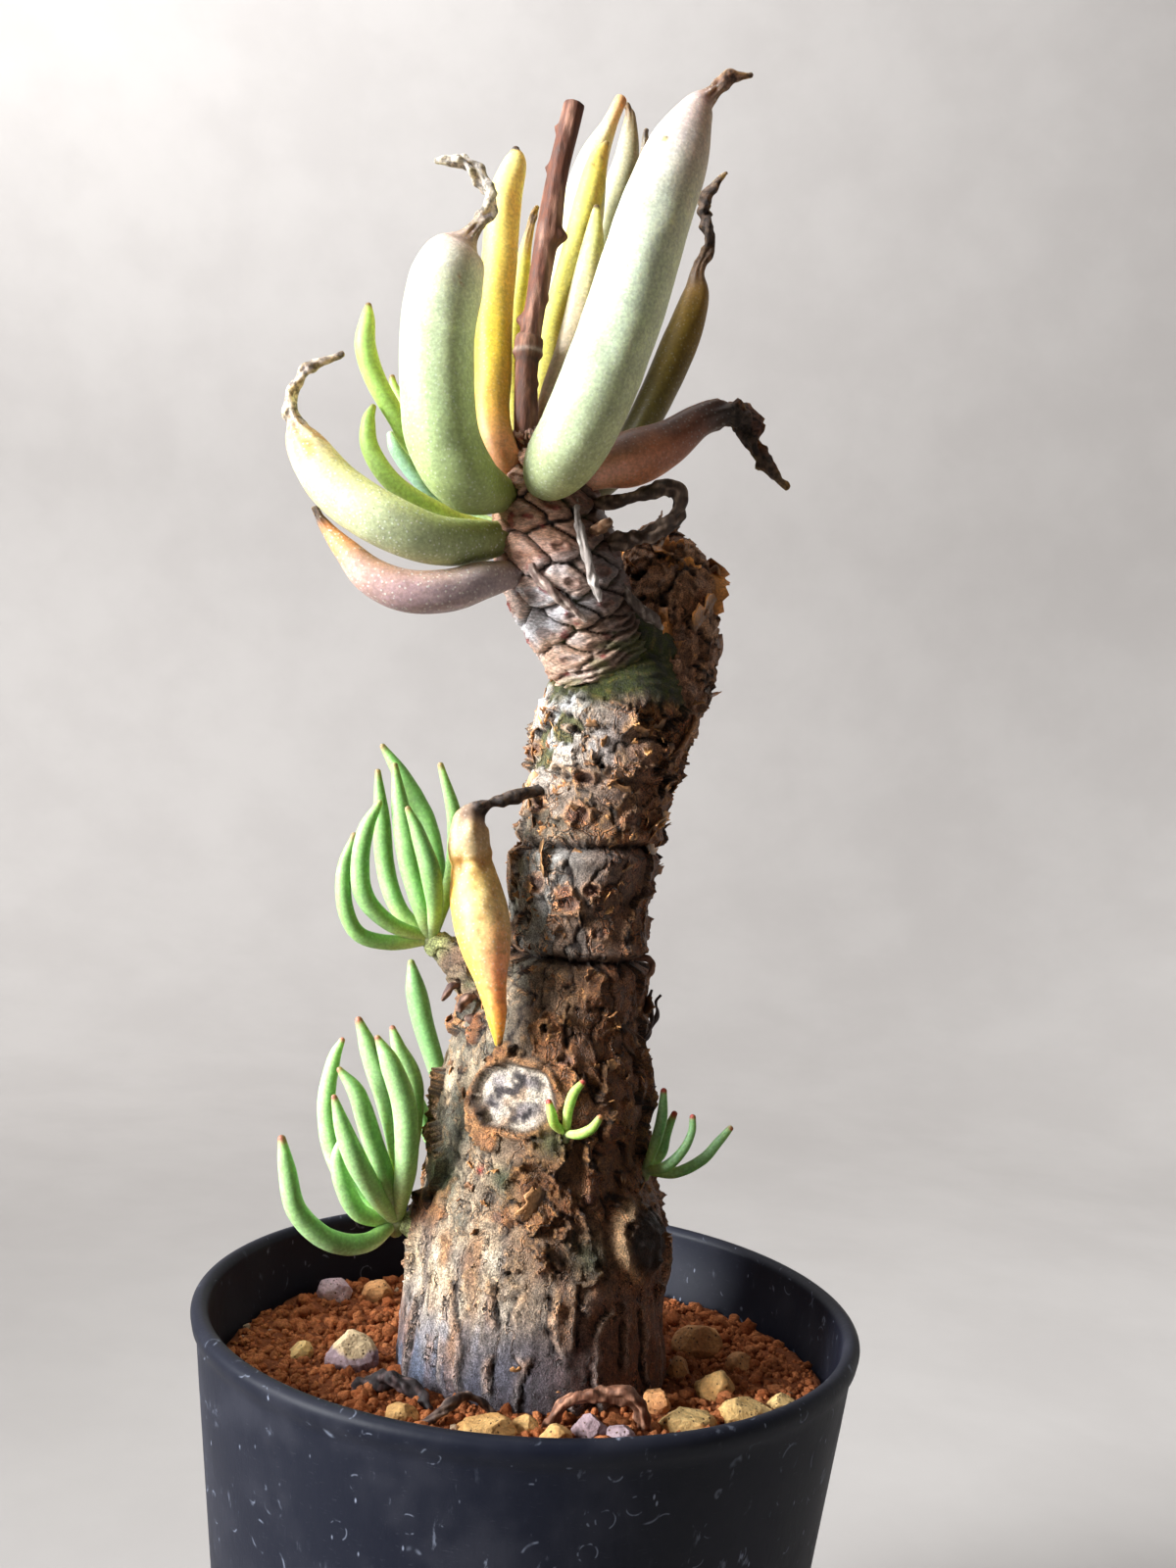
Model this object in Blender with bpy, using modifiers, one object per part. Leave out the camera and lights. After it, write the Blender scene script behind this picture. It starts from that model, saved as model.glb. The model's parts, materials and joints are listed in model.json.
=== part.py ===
"""Potted tylecodon: an old leaning trunk with a leafy crown, in a round black plastic plant pot.

Units are metres, +Z is up and the origin is the centre of the pot's flat bottom. The plant's places are
written in millimetres, as (x, y, z, radius) stations along each stem or leaf, and scaled by MM.
"""
import math

import bmesh
import bpy
from mathutils import Vector, noise

MM = 0.001
GAP = 0.3

# The pot, a turned shell
POT_HEIGHT = 80.0
RIM_RADIUS = 45.0
FOOT_RADIUS = 34.3
SHOULDER_HEIGHT = 70.0
SHOULDER_RADIUS = 43.3
WALL = 1.9
FLOOR = 2.0
LEDGE_HEIGHT = 67.0
LEDGE_STEP = 0.7
RIM_BEAD = 1.1
RIM_SKIRT = 4.0
INNER_CORNER = 1.5
HEEL_WIDTH = 1.5
HEEL_HEIGHT = 0.5
POT_STEPS = 40
DRAIN_COUNT = 6
DRAIN_RADIUS = 3.5
DRAIN_CIRCLE = 21.0
DRAIN_SIDES = 14

# The soil, a little higher at the front than at the back
SOIL_LEVEL = 70.8
SOIL_SLOPE = 0.045
SOIL_ROUGHNESS = 0.7
SOIL_LUMPS_PER_MM = 0.17
SOIL_EDGE_GAP = 0.4
SOIL_SIDES = 30
SOIL_RINGS = 4

# The trunk and its arms, each a row of stations from the root up
COLUMN = [(1, 0, 50, 14.5), (1, 0, 58, 17.6), (1, 0, 69, 18.4), (0.5, 0, 76.5, 18.2),
          (0.5, 0, 83, 17.6), (0.5, 0, 90, 17.2), (0, 0, 96.5, 15.2), (-0.5, 0, 103.5, 14), (0, 0, 110, 14),
          (0.5, 0, 117, 12.6), (2.5, 0, 124, 10.2), (3, 0, 130.5, 9.1), (2.5, 0, 137.5, 9.5),
          (4, 0, 144, 9.4), (4.8, 0, 151, 9.3), (5.2, 0, 158, 9.6), (7, 0, 165, 9.4), (8.5, 0, 170, 6.6)]
STUB = [(7, -1, 160, 7), (4.5, -2.5, 166, 6.8), (1.5, -4, 171, 6.8), (-1.5, -5.5, 176.5, 7.5),
        (-4, -7, 182.5, 7.5), (-5.5, -8, 188, 6.4), (-7, -8.5, 192, 4.4), (-8, -9, 195.5, 2.6)]
KNOB = [(8.5, 1, 160, 7.4), (11.5, 2, 166, 6.9), (12.5, 3, 172, 6.4), (12, 4, 179, 6), (11, 5, 184, 4.7),
        (10.5, 5, 186.5, 2.8)]
BRANCH = [(2, -1, 115, 5), (-3, -3, 119.5, 4.6), (-8, -4, 123, 3.4), (-12.5, -5, 126, 2.5),
          (-16, -5, 128.5, 1.5)]
SPUR = [(-11, -2, 88, 4), (-14.5, -3, 89.5, 2.6), (-17.5, -4, 90.2, 1.3)]
COLUMN_SIDES = 40
ROUTE_STEPS = 2
CAP_BULGE = 0.45
PLATE_SIZE = 4.2
PLATE_DEPTH = 0.75
PLATE_SQUASH = 0.8
PLATE_CRACK = 0.35
PLATE_LUMP = 0.25
PLATE_LUMPS_PER_MM = 0.9
PLATES_START = 6.0
PLATES_FADE = 10.0
WAISTS = [(142.5, 0.9), (127.5, 1.0), (151.5, 0.45)]
WAIST_WIDTH = 0.9
FISSURE_COUNT = 11
FISSURE_DEPTH = 1.1
FISSURE_TOP = 92.0
FISSURE_FADE = 12.0
FISSURE_WIDTH = 0.45
# How far a fissure wanders: (reach, waves per millimetre up, waves round)
FISSURE_WANDER = [(0.5, 0.16, 3), (0.25, 0.37, 5)]
SCAR_TURN = 0.27
SCAR_LEVEL = 110.0
SCAR_HALF_WIDTH = 5.9
SCAR_HALF_HEIGHT = 4.6
SCAR_COLUMN_RADIUS = 14.0
# The scar's sunken pad and raised lip end at these shares of its half sizes
SCAR_PAD = 0.85
SCAR_LIP = 1.25
SCAR_DEPTH = 0.6
SCAR_LIP_HEIGHT = 0.8
BURL_TURN = -0.98
BURL_LEVEL = 91.8
BURL_RISE = 1.6
BURL_RADIUS = 3.6
BURL_COLUMN_RADIUS = 17.0
SCALE_ROWS = 5
SCALE_PITCH = 4.3
SCALE_HEIGHT = 0.9
KNOB_PLATE_SIZE = 3.4
KNOB_PLATE_DEPTH = 0.9

# The crown's leaves: (kind, sides, steps between stations, stations). Some carry a dried, curled tip,
# whose stations follow the fleshy ones
LEAVES = {
    "leaf_front_left": ("sage", 9, 2, [
        (-10.4, -10.8, 187.5, 2.1), (-14.8, -17.5, 187.8, 4.1), (-17.8, -20, 191.8, 4.6),
        (-19.1, -21, 198, 4.6), (-19.6, -21, 205, 4.65), (-19.1, -20, 211.3, 4.6), (-18, -19, 215.6, 3.6),
        (-16.7, -19, 218, 1.2),
        (-14.5, -19, 221.5, 1), (-15, -19, 224.5, 1), (-18, -19, 227, 0.9), (-21.5, -19, 227, 0.4)]),
    "leaf_front_right": ("sage", 9, 2, [
        (-6, -11, 188.8, 1.8), (-4, -17, 190.6, 4.2), (-1.5, -20, 194.5, 4.7), (1, -20, 201.5, 4.9),
        (3.5, -19, 211, 4.9), (6, -18, 222, 4.7), (8.5, -17, 231, 4.1), (10.5, -17, 236.5, 2.3),
        (12, -17, 238.5, 1.1), (14.5, -17, 241, 0.9), (17, -17, 241.5, 0.4)]),
    "leaf_yellow_left": ("golden", 8, 1, [
        (-8, -8.5, 191, 1.3), (-11, -11, 192.5, 2.2), (-13, -10, 197.5, 2.4), (-13.5, -8, 204, 2.5),
        (-14, -6, 212.5, 2.5), (-14, -4, 221, 2.4), (-14, -3, 229, 2.3), (-13, -3, 234, 1.6),
        (-13, -3, 236, 0.5)]),
    "leaf_lime_back": ("lime", 6, 1, [
        (-9, -7, 193, 0.8), (-10.5, -3, 199, 1.1), (-12, 1, 207, 1.3), (-12, 3, 214, 1.4),
        (-11.5, 4, 221.5, 1.2), (-11, 4, 226.5, 0.7), (-10, 4, 231, 0.4)]),
    "leaf_bright_yellow": ("golden", 8, 1, [
        (-8, -6, 192, 0.9), (-7.5, -2, 198.5, 1.3), (-7, 1, 206.5, 1.6), (-6.5, 4, 214.5, 1.9),
        (-4.5, 6, 224, 2.1), (-3, 7, 233.5, 2), (-2, 7, 239.5, 1.4), (-1, 7, 242, 0.4)]),
    "leaf_pink_lime": ("blush", 6, 1, [
        (-6.5, -8, 192, 0.8), (-6.1, -6.6, 200.5, 1.3), (-3.7, -6.2, 208.7, 1.8), (-2.3, -5.5, 216.9, 1.9),
        (-1.6, -5, 223, 1.5), (-1.5, -5, 226.7, 0.8), (-1.5, -5, 228.2, 0.4)]),
    "leaf_cream_back": ("cream", 8, 1, [
        (-6.5, -5, 190.5, 1), (-6, 1.5, 197, 1.5), (-5.5, 7.5, 208, 2.5), (-4.8, 11.5, 221, 3),
        (-4, 13.5, 234, 3.2), (-3, 14, 242, 2.3), (-1, 14, 247.5, 1.2), (0.5, 14, 251.5, 0.9)]),
    "leaf_grey_back": ("grey_green", 8, 1, [
        (-4, -4.5, 191, 0.9), (-2.2, 4.5, 199, 1.2), (-0.6, 13, 212, 1.9), (0, 19, 227, 2.2),
        (1, 21, 239.5, 2.4), (2, 21, 246.5, 1.8), (2, 21, 252, 0.9), (1.5, 21, 254, 0.5)]),
    "leaf_behind_sage": ("sage", 8, 1, [
        (-2.5, -4.5, 190.5, 0.9), (1.5, 2, 199, 1.5), (2.6, 7.5, 211, 2.1), (3.6, 9.8, 224.5, 2.3),
        (4, 10, 236, 1.7), (4.5, 10, 241.5, 0.8), (4.5, 10, 245.5, 0.4)]),
    "leaf_mustard": ("mustard", 8, 1, [
        (-1.5, -7, 187, 1.2), (3.5, 0, 194, 2), (7, 7, 202.5, 2.3), (9.5, 10.5, 209.5, 2.6),
        (12, 12, 217, 2.6), (13.5, 12.5, 223, 2), (13.5, 12, 226.5, 1), (15, 12, 230.5, 0.9),
        (14, 12, 234.5, 1), (14, 12, 237.5, 0.9), (16.5, 12, 241, 0.4)]),
    "leaf_dusty_pink": ("rose", 8, 1, [
        (-2.5, -9, 190, 1.6), (1.5, -11, 192, 2.8), (5.5, -11, 193.5, 3.6), (10, -10, 196, 3),
        (14, -9, 199.5, 2.2), (17.5, -8, 201, 2), (20.5, -7, 200.5, 1.8), (21.5, -7, 197.5, 1.2),
        (24, -7, 194.5, 1), (26.5, -7, 192, 0.4)]),
    "leaf_speckled_left": ("speckled", 8, 2, [
        (-9, -8.5, 182.8, 1.9), (-14.5, -13, 180.9, 2.9), (-19, -17, 180.3, 3.2), (-25, -19, 182, 3.4),
        (-31, -18, 185.5, 3.3), (-35, -17, 190, 2.7), (-37.5, -16, 194, 1.2), (-38, -16, 197.5, 0.8),
        (-36, -16, 201, 0.7), (-32, -16, 203, 0.4)]),
    "leaf_mauve_left": ("mauve", 8, 2, [
        (-7.5, -9, 178, 1.4), (-12, -14, 176, 2.4), (-16.5, -16, 174, 2.7), (-21.5, -17, 173.5, 2.7),
        (-26, -17, 175, 2.4), (-29.5, -17, 178, 1.6), (-32, -17, 180.5, 0.9), (-34, -17, 183, 0.4)]),
    "leaf_green_far_left": ("apple", 6, 1, [
        (-9.5, -6, 188, 0.7), (-16, -5, 189, 0.9), (-23, -7, 193.5, 1.2), (-25.5, -9, 197, 1.3),
        (-28.5, -10, 201.5, 1.4), (-30, -11, 205.5, 1.4), (-30, -11, 209, 1), (-30, -11, 211, 0.4)]),
    "leaf_green_low_left": ("apple", 6, 1, [
        (-9, -4, 184.5, 0.6), (-15, -5.5, 184.5, 1), (-21, -9, 186, 1.2), (-25.5, -10.5, 188.5, 1.3),
        (-28.5, -10.5, 192.5, 1.2), (-29, -10.5, 196, 0.9), (-28.5, -10.5, 198, 0.4)]),
    "leaf_green_small": ("apple", 6, 1, [
        (-9, -4, 190, 0.6), (-15, -2.5, 191, 0.8), (-20.5, -1.5, 192.5, 0.9), (-23, -2, 195.5, 0.9),
        (-25, -3, 199.5, 0.9), (-27, -3, 202.5, 0.6), (-27.5, -3, 204, 0.4)]),
    "leaf_blue_green": ("blue_green", 6, 1, [
        (-8, -3, 184, 0.6), (-14, -0.5, 186, 0.8), (-19, -0.5, 187.5, 1), (-23, -3, 190.5, 1.1),
        (-26, -4, 194, 1), (-27, -4, 196, 0.5)]),
}

# Young side shoots: (bud, steps between stations, leaves). Each is a tuft of leaves that spring from
# one bud
BUD_TAPER = 0.6
BLADE_SIDES = 5
TUFTS = {
    "tuft_branch": ((-16.5, -5, 128.7, 1.3), 2, [
        [(-21.5, -7, 128, 1), (-25.5, -9, 129, 1), (-27.5, -10, 132.5, 1), (-28, -10, 137.5, 0.9),
         (-27, -10, 142, 0.4)],
        [(-21.5, -8, 130.5, 1), (-25, -10, 134, 1.2), (-26, -10, 138.5, 1.2), (-25.5, -10, 143, 1),
         (-24, -10, 146.5, 0.4)],
        [(-21, -4, 132, 1.1), (-23.5, -3, 137.5, 1.2), (-24.5, -3, 144, 1.1), (-25.5, -3, 150.5, 0.4)],
        [(-17.5, -8, 132.5, 1.2), (-19.5, -9, 138.5, 1.4), (-21, -9, 144.5, 1.3), (-22.5, -9, 151.5, 0.4)],
        [(-16, -2, 133, 1.1), (-17, -1, 138.5, 1.3), (-19, 0, 144.5, 1.3), (-22.5, 0, 150, 1.1),
         (-25.5, 0, 154, 0.4)],
        [(-15.8, -9.5, 133, 1), (-16.5, -12, 138, 1.3), (-18.5, -12, 143, 0.9), (-20, -12, 146, 0.4)],
        [(-14.5, -5, 136.5, 0.9), (-14.5, -4, 144.5, 1), (-17, -4, 152, 0.4)]]),
    "tuft_low_left": ((-18.5, -4, 90.3, 1.4), 2, [
        [(-22, -7, 88, 1.3), (-26.5, -10, 89, 1.4), (-30.5, -12, 93, 1.3), (-32, -13, 98.5, 1.1),
         (-33, -13, 102.5, 0.5)],
        [(-22.5, -2, 91, 1.2), (-27.5, -1, 97, 1.3), (-29.5, -1, 104, 1.2), (-29, -1, 110.5, 0.9),
         (-28, -1, 113.5, 0.4)],
        [(-19.5, -8, 96, 1.2), (-22, -10, 103, 1.3), (-24, -11, 108.5, 1.1), (-26.5, -11, 111.5, 0.4)],
        [(-20.5, -9, 94.5, 1.2), (-23, -13, 100, 1.4), (-25, -14, 104.5, 1.1), (-26.5, -14, 108.5, 0.4)],
        [(-23, -6, 91.5, 1.2), (-25.5, -7, 95.5, 1.2), (-26.5, -7, 99, 0.9), (-26, -7, 102, 0.4)],
        [(-18.5, -7, 100, 1.3), (-20.5, -7.5, 107, 1.4), (-23, -7.5, 113, 1.3), (-25, -7.5, 117.5, 0.5)],
        [(-17, -11, 99.5, 1.4), (-17.5, -13, 107.5, 1.5), (-19.5, -14, 113, 1.3), (-21.5, -14, 116.5, 0.4)],
        [(-17.5, -3, 99, 1.1), (-17.5, -3, 108.5, 1.2), (-20, -3, 113.5, 0.9), (-21, -3, 116, 0.4)]]),
    "tuft_back_left": ((-12.5, 5, 101, 1.4), 2, [
        [(-15, 5, 108.5, 1.2), (-17.5, 5, 115, 1.4), (-19, 5, 120, 1.4), (-20, 5, 124, 0.5)],
        [(-15.5, 3, 102, 0.9), (-17.5, 2, 105, 1.1), (-19, 2, 109, 0.5)],
        [(-14.5, 2.5, 99.5, 0.9), (-16, 1, 102, 0.8), (-17, 1, 105, 0.4)]]),
    "tuft_front": ((3.5, -13.8, 106, 0.8), 1, [
        [(2, -16, 107.5, 0.6), (1.5, -17, 109, 0.6), (1, -17, 110.5, 0.4)],
        [(3.5, -17, 109.5, 0.6), (4, -18, 112, 0.6), (5, -18, 113.5, 0.4)],
        [(5, -18, 107, 0.6), (6.5, -19, 108, 0.6), (7.5, -19, 109.5, 0.4)]]),
    "tuft_right": ((14.5, -4, 99.5, 0.9), 1, [
        [(15.5, -6, 104, 0.7), (16, -7, 107.5, 0.7), (16, -7, 111, 0.4)],
        [(16.5, -2.5, 101.5, 0.7), (17, -2, 104, 0.7), (18, -2, 107, 0.4)],
        [(17, -7, 101, 0.7), (19, -8, 103.5, 0.6), (20, -8, 106, 0.5), (20, -8, 108, 0.4)],
        [(18.5, -4, 99.5, 0.7), (22, -4, 101.5, 0.7), (24, -4, 104, 0.6), (25.5, -4, 106, 0.4)]]),
}

# Dry pieces: the dead flower stalk, a yellow leaf hanging by its dried foot, and curled old leaves
FLOWER_STALK = [(-8, -9.5, 192, 1.6), (-8.5, -10, 197.5, 1.6), (-9, -9, 204, 1.5), (-9, -8, 208.5, 1.9),
                (-8.8, -7.7, 210.5, 1.4), (-8, -6, 221, 1.5), (-7.6, -5.6, 224, 1.7), (-7, -5, 232, 1.4),
                (-5.5, -4, 242, 1.4)]
HANGING_LEAF = [(-2.5, -5, 150, 0.7), (-7, -7.5, 148.3, 0.8), (-10.5, -9, 147, 0.9), (-12, -9.3, 145, 2.2),
                (-12, -9.5, 142, 2.8), (-11.5, -9.5, 139.5, 2.9), (-10.5, -10, 135.5, 3.5),
                (-9.5, -11.5, 132, 3.7), (-8.5, -12.5, 128.5, 3.2), (-7.5, -13.5, 124.5, 2),
                (-6.5, -14.5, 120.5, 1.3), (-6, -14.5, 117, 0.5)]
DRIED_LOOP = [(-1, -9, 187.5, 0.7), (4, -12.5, 187.5, 0.8), (8.5, -14, 189, 0.9), (11.5, -13.5, 189.5, 0.9),
              (12, -12, 186.5, 1), (9, -11, 184, 1.1), (4.5, -10.5, 182.5, 1), (0, -8, 181, 0.8)]
BARK_CURL = [(3.9, -22, 70.5, 0.8), (5.2, -22.8, 74.9, 0.8), (9.6, -23, 76.6, 0.9), (14.3, -22.2, 75.9, 0.9),
             (16.2, -21.6, 70.6, 0.8)]
DEAD_LEAF = [(-22, -15, 71.2, 0.7), (-19.5, -14.5, 72.6, 1), (-16.5, -15.5, 73.6, 1.1),
             (-13.5, -16.5, 73, 0.9), (-11, -18.5, 71.4, 0.6)]
STRAW = [(-12.5, -25.5, 71.6, 0.5), (-9.5, -25, 73.6, 0.6), (-7, -21.5, 74.6, 0.6), (-4.5, -20.3, 73.6, 0.5),
         (-2.5, -20.6, 71.6, 0.4)]
STRIP_SIDES = 6
STALK_SIDES = 9

# Pebbles on the soil: their kind, (x, y), size in x, y and z, a turn about the upright, and how
# high the middle lies
STONES = {
    "stone_tan_front": ("tan_stone", -3.8, -26.5, 7.6, 5.4, 4.6, 0.1, 72.4),
    "stone_tan_small": ("tan_stone", 5, -27.2, 4.4, 3.8, 3.2, 0.5, 72.7),
    "stone_purple": ("purple_stone", 8.9, -24.2, 4.2, 3.2, 3.8, -0.4, 73),
    "stone_ridged": ("purple_stone", 12.6, -25.2, 3.4, 3.6, 3.4, 0.8, 72.6),
    "stone_yellow_long": ("yellow_stone", 21, -19, 7.4, 4.6, 4, 0.3, 72.1),
    "stone_yellow_wide": ("yellow_stone", 28.6, -14.6, 7.8, 4.8, 4, 0.45, 72),
    "stone_yellow_edge": ("yellow_stone", 34.2, -10.2, 4, 3.4, 2.6, 0.6, 71.8),
    "stone_tan_right": ("tan_stone", 25.6, -6.6, 5.2, 4.6, 5, 0.2, 71.7),
    "stone_brown_far": ("brown_stone", 29.8, 3.8, 4.2, 3.6, 3, 0.9, 71.4),
    "stone_brown_right": ("brown_stone", 24.4, 9.4, 7.2, 5.2, 5.4, 0.4, 71.6),
    "stone_brown_near": ("brown_stone", 21, -1.2, 3.4, 3.6, 4, 0, 71.6),
    "stone_round": ("brown_stone", 17.6, -14.4, 3.6, 3.4, 3.6, 0, 72.8),
    "stone_yellow_left": ("yellow_stone", -30, -3.6, 3.8, 3, 3.2, 0.7, 71.2),
    "stone_cut": ("purple_stone", -22.8, -6.2, 6.4, 5, 6.4, 0.2, 72.2),
    "stone_pink_back": ("purple_stone", -30, 22.6, 5, 4.2, 4.6, 0.3, 70.8),
    "stone_brown_back": ("brown_stone", -23.4, 23.4, 4.8, 4, 4, -0.2, 70.6),
    "stone_tan_left": ("tan_stone", -14.2, -23.2, 4, 3.6, 3.4, 0.4, 72.2),
    "stone_chip": ("tan_stone", 1.1, -24.4, 3.2, 2.6, 2.6, -0.3, 72.6),
}
STONE_LUMP = 0.16
STONE_LUMPS_ACROSS = 1.3

# Boolean crumbs shorter than these are welded or dissolved
WELD = 0.004
SLIVER = 0.002

# Base colour and roughness for each kind of surface
COLOURS = {
    "pot": (0.016, 0.018, 0.024, 0.5), "soil": (0.17, 0.065, 0.035, 0.95), "bark": (0.26, 0.19, 0.13, 0.9),
    "sage": (0.45, 0.58, 0.38, 0.6), "golden": (0.72, 0.58, 0.13, 0.5), "lime": (0.5, 0.6, 0.12, 0.5),
    "blush": (0.66, 0.52, 0.36, 0.5), "cream": (0.74, 0.68, 0.35, 0.5), "grey_green": (0.45, 0.5, 0.3, 0.6),
    "mustard": (0.42, 0.35, 0.09, 0.5), "rose": (0.45, 0.25, 0.2, 0.6), "speckled": (0.6, 0.66, 0.34, 0.6),
    "mauve": (0.45, 0.32, 0.28, 0.6), "apple": (0.38, 0.6, 0.12, 0.45), "blue_green": (0.3, 0.5, 0.36, 0.5),
    "shoot": (0.27, 0.47, 0.17, 0.5), "stalk": (0.24, 0.12, 0.09, 0.7), "dry": (0.1, 0.06, 0.04, 0.9),
    "amber": (0.75, 0.5, 0.2, 0.6), "tan_stone": (0.5, 0.33, 0.16, 0.7),
    "purple_stone": (0.3, 0.23, 0.23, 0.7), "yellow_stone": (0.6, 0.43, 0.2, 0.7),
    "brown_stone": (0.3, 0.15, 0.08, 0.8),
}


def material(kind):
    """Return the Principled material of one kind of surface, made at its first use."""
    if kind in bpy.data.materials:
        return bpy.data.materials[kind]
    *colour, roughness = COLOURS[kind]
    made = bpy.data.materials.new(kind)
    made.use_nodes = True
    shader = made.node_tree.nodes["Principled BSDF"]
    shader.inputs["Base Color"].default_value = (*colour, 1.0)
    shader.inputs["Roughness"].default_value = roughness
    return made


def add_object(name, mesh, kind, group):
    """Put a mesh in the scene as a smooth-shaded object of one material."""
    made = bpy.data.objects.new(name, mesh)
    mesh.materials.append(material(kind))
    mesh.shade_smooth()
    group.objects.link(made)
    return made


def add_bmesh(name, shape, kind, group):
    """Turn a bmesh into an object, with its faces pointing out."""
    bmesh.ops.recalc_face_normals(shape, faces=shape.faces)
    mesh = bpy.data.meshes.new(name)
    shape.to_mesh(mesh)
    shape.free()
    return add_object(name, mesh, kind, group)


def spline_stations(stations, steps):
    """Pass a smooth curve through the stations, with some steps between each pair, in metres."""
    points = [Vector(station) for station in stations]
    first = points[0] * 2 - points[1]
    last = points[-1] * 2 - points[-2]
    padded = [first, *points, last]
    smooth = []
    for index in range(1, len(padded) - 2):
        before, start, end, after = padded[index - 1:index + 3]
        for step in range(steps):
            t = step / steps
            straight = 2 * start + (end - before) * t
            bend = (2 * before - 5 * start + 4 * end - after) * t ** 2
            twist = (3 * start - before - 3 * end + after) * t ** 3
            smooth.append(0.5 * (straight + bend + twist))
    smooth.append(points[-1])
    return [(Vector(point[:3]) * MM, point[3] * MM) for point in smooth]


def loft(name, stations, sides, steps, kind, group, relief=None, grow=0.0):
    """Skin round rings along a smooth route, closed by a blunt point at each end.

    The rings' first direction is the one nearest the pot's front. relief(angle, travelled, centre)
    gives how far a point stands out in millimetres, and grow fattens the whole in millimetres.
    """
    route = spline_stations(stations, steps)
    shape = bmesh.new()
    rings = []
    travelled = 0.0
    for index, (centre, radius) in enumerate(route):
        ahead = route[min(index + 1, len(route) - 1)][0]
        behind = route[max(index - 1, 0)][0]
        along = (ahead - behind).normalized()
        front = Vector((0, -1, 0)) - along * along.dot(Vector((0, -1, 0)))
        front.normalize()
        side = front.cross(along)
        if index:
            travelled += (centre - route[index - 1][0]).length
        ring = []
        for corner in range(sides):
            angle = math.tau * corner / sides
            outward = front * math.cos(angle) + side * math.sin(angle)
            reach = radius + grow * MM
            if relief:
                reach += relief(angle, travelled / MM, (centre + outward * radius) / MM) * MM
            ring.append(shape.verts.new(centre + outward * reach))
        rings.append((ring, centre, along, radius + grow * MM))
    for (ring, *_), (after, *_) in zip(rings, rings[1:]):
        for corner in range(sides):
            around = (corner + 1) % sides
            shape.faces.new((ring[corner], ring[around], after[around], after[corner]))
    for (ring, centre, along, radius), way in ((rings[0], -CAP_BULGE), (rings[-1], CAP_BULGE)):
        pole = shape.verts.new(centre + along * radius * way)
        for corner in range(sides):
            shape.faces.new((ring[corner], ring[(corner + 1) % sides], pole))
    bmesh.ops.triangulate(shape, faces=shape.faces)
    return add_bmesh(name, shape, kind, group)


def apply_boolean(target, operation, cutters):
    """Join or cut a target by a list of objects with one exact Boolean, and remove the list."""
    tools = bpy.data.collections.new("boolean_tools")
    bpy.context.scene.collection.children.link(tools)
    for cutter in cutters:
        for holder in list(cutter.users_collection):
            holder.objects.unlink(cutter)
        tools.objects.link(cutter)
    modifier = target.modifiers.new("join", "BOOLEAN")
    modifier.operation = operation
    modifier.operand_type = "COLLECTION"
    modifier.collection = tools
    modifier.solver = "EXACT"
    graph = bpy.context.evaluated_depsgraph_get()
    result = bpy.data.meshes.new_from_object(target.evaluated_get(graph))
    target.modifiers.clear()
    target.data = result
    for cutter in list(tools.objects):
        bpy.data.objects.remove(cutter)
    bpy.data.collections.remove(tools)
    clean(target)


def clean(target):
    """Weld crumbs that a Boolean leaves, and drop loose scraps beside the largest body."""
    shape = bmesh.new()
    shape.from_mesh(target.data)
    bmesh.ops.remove_doubles(shape, verts=shape.verts, dist=WELD * MM)
    bmesh.ops.dissolve_degenerate(shape, edges=shape.edges, dist=SLIVER * MM)
    bmesh.ops.triangulate(shape, faces=shape.faces)
    bodies = []
    unseen = set(shape.verts)
    while unseen:
        reached = {unseen.pop()}
        front = list(reached)
        while front:
            vert = front.pop()
            for edge in vert.link_edges:
                other = edge.other_vert(vert)
                if other not in reached:
                    reached.add(other)
                    front.append(other)
        unseen -= reached
        bodies.append(reached)
    largest = max(bodies, key=len)
    scraps = [vert for body in bodies if body is not largest for vert in body]
    bmesh.ops.delete(shape, geom=scraps, context="VERTS")
    shape.to_mesh(target.data)
    shape.free()
    target.data.shade_smooth()


def plate_relief(point, size, depth):
    """Sink the cracks between bark plates: a cell pattern whose borders lie deeper."""
    distances, _ = noise.voronoi(Vector((point.x, point.y, point.z * PLATE_SQUASH)) / size)
    border = min(1.0, (distances[1] - distances[0]) / PLATE_CRACK)
    return -depth * (1.0 - border) + PLATE_LUMP * noise.noise(point * PLATE_LUMPS_PER_MM)


def turned_from(angle, turn):
    """Give how far an angle lies from a turn, the short way round."""
    return (angle - turn + math.pi) % math.tau - math.pi


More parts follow.
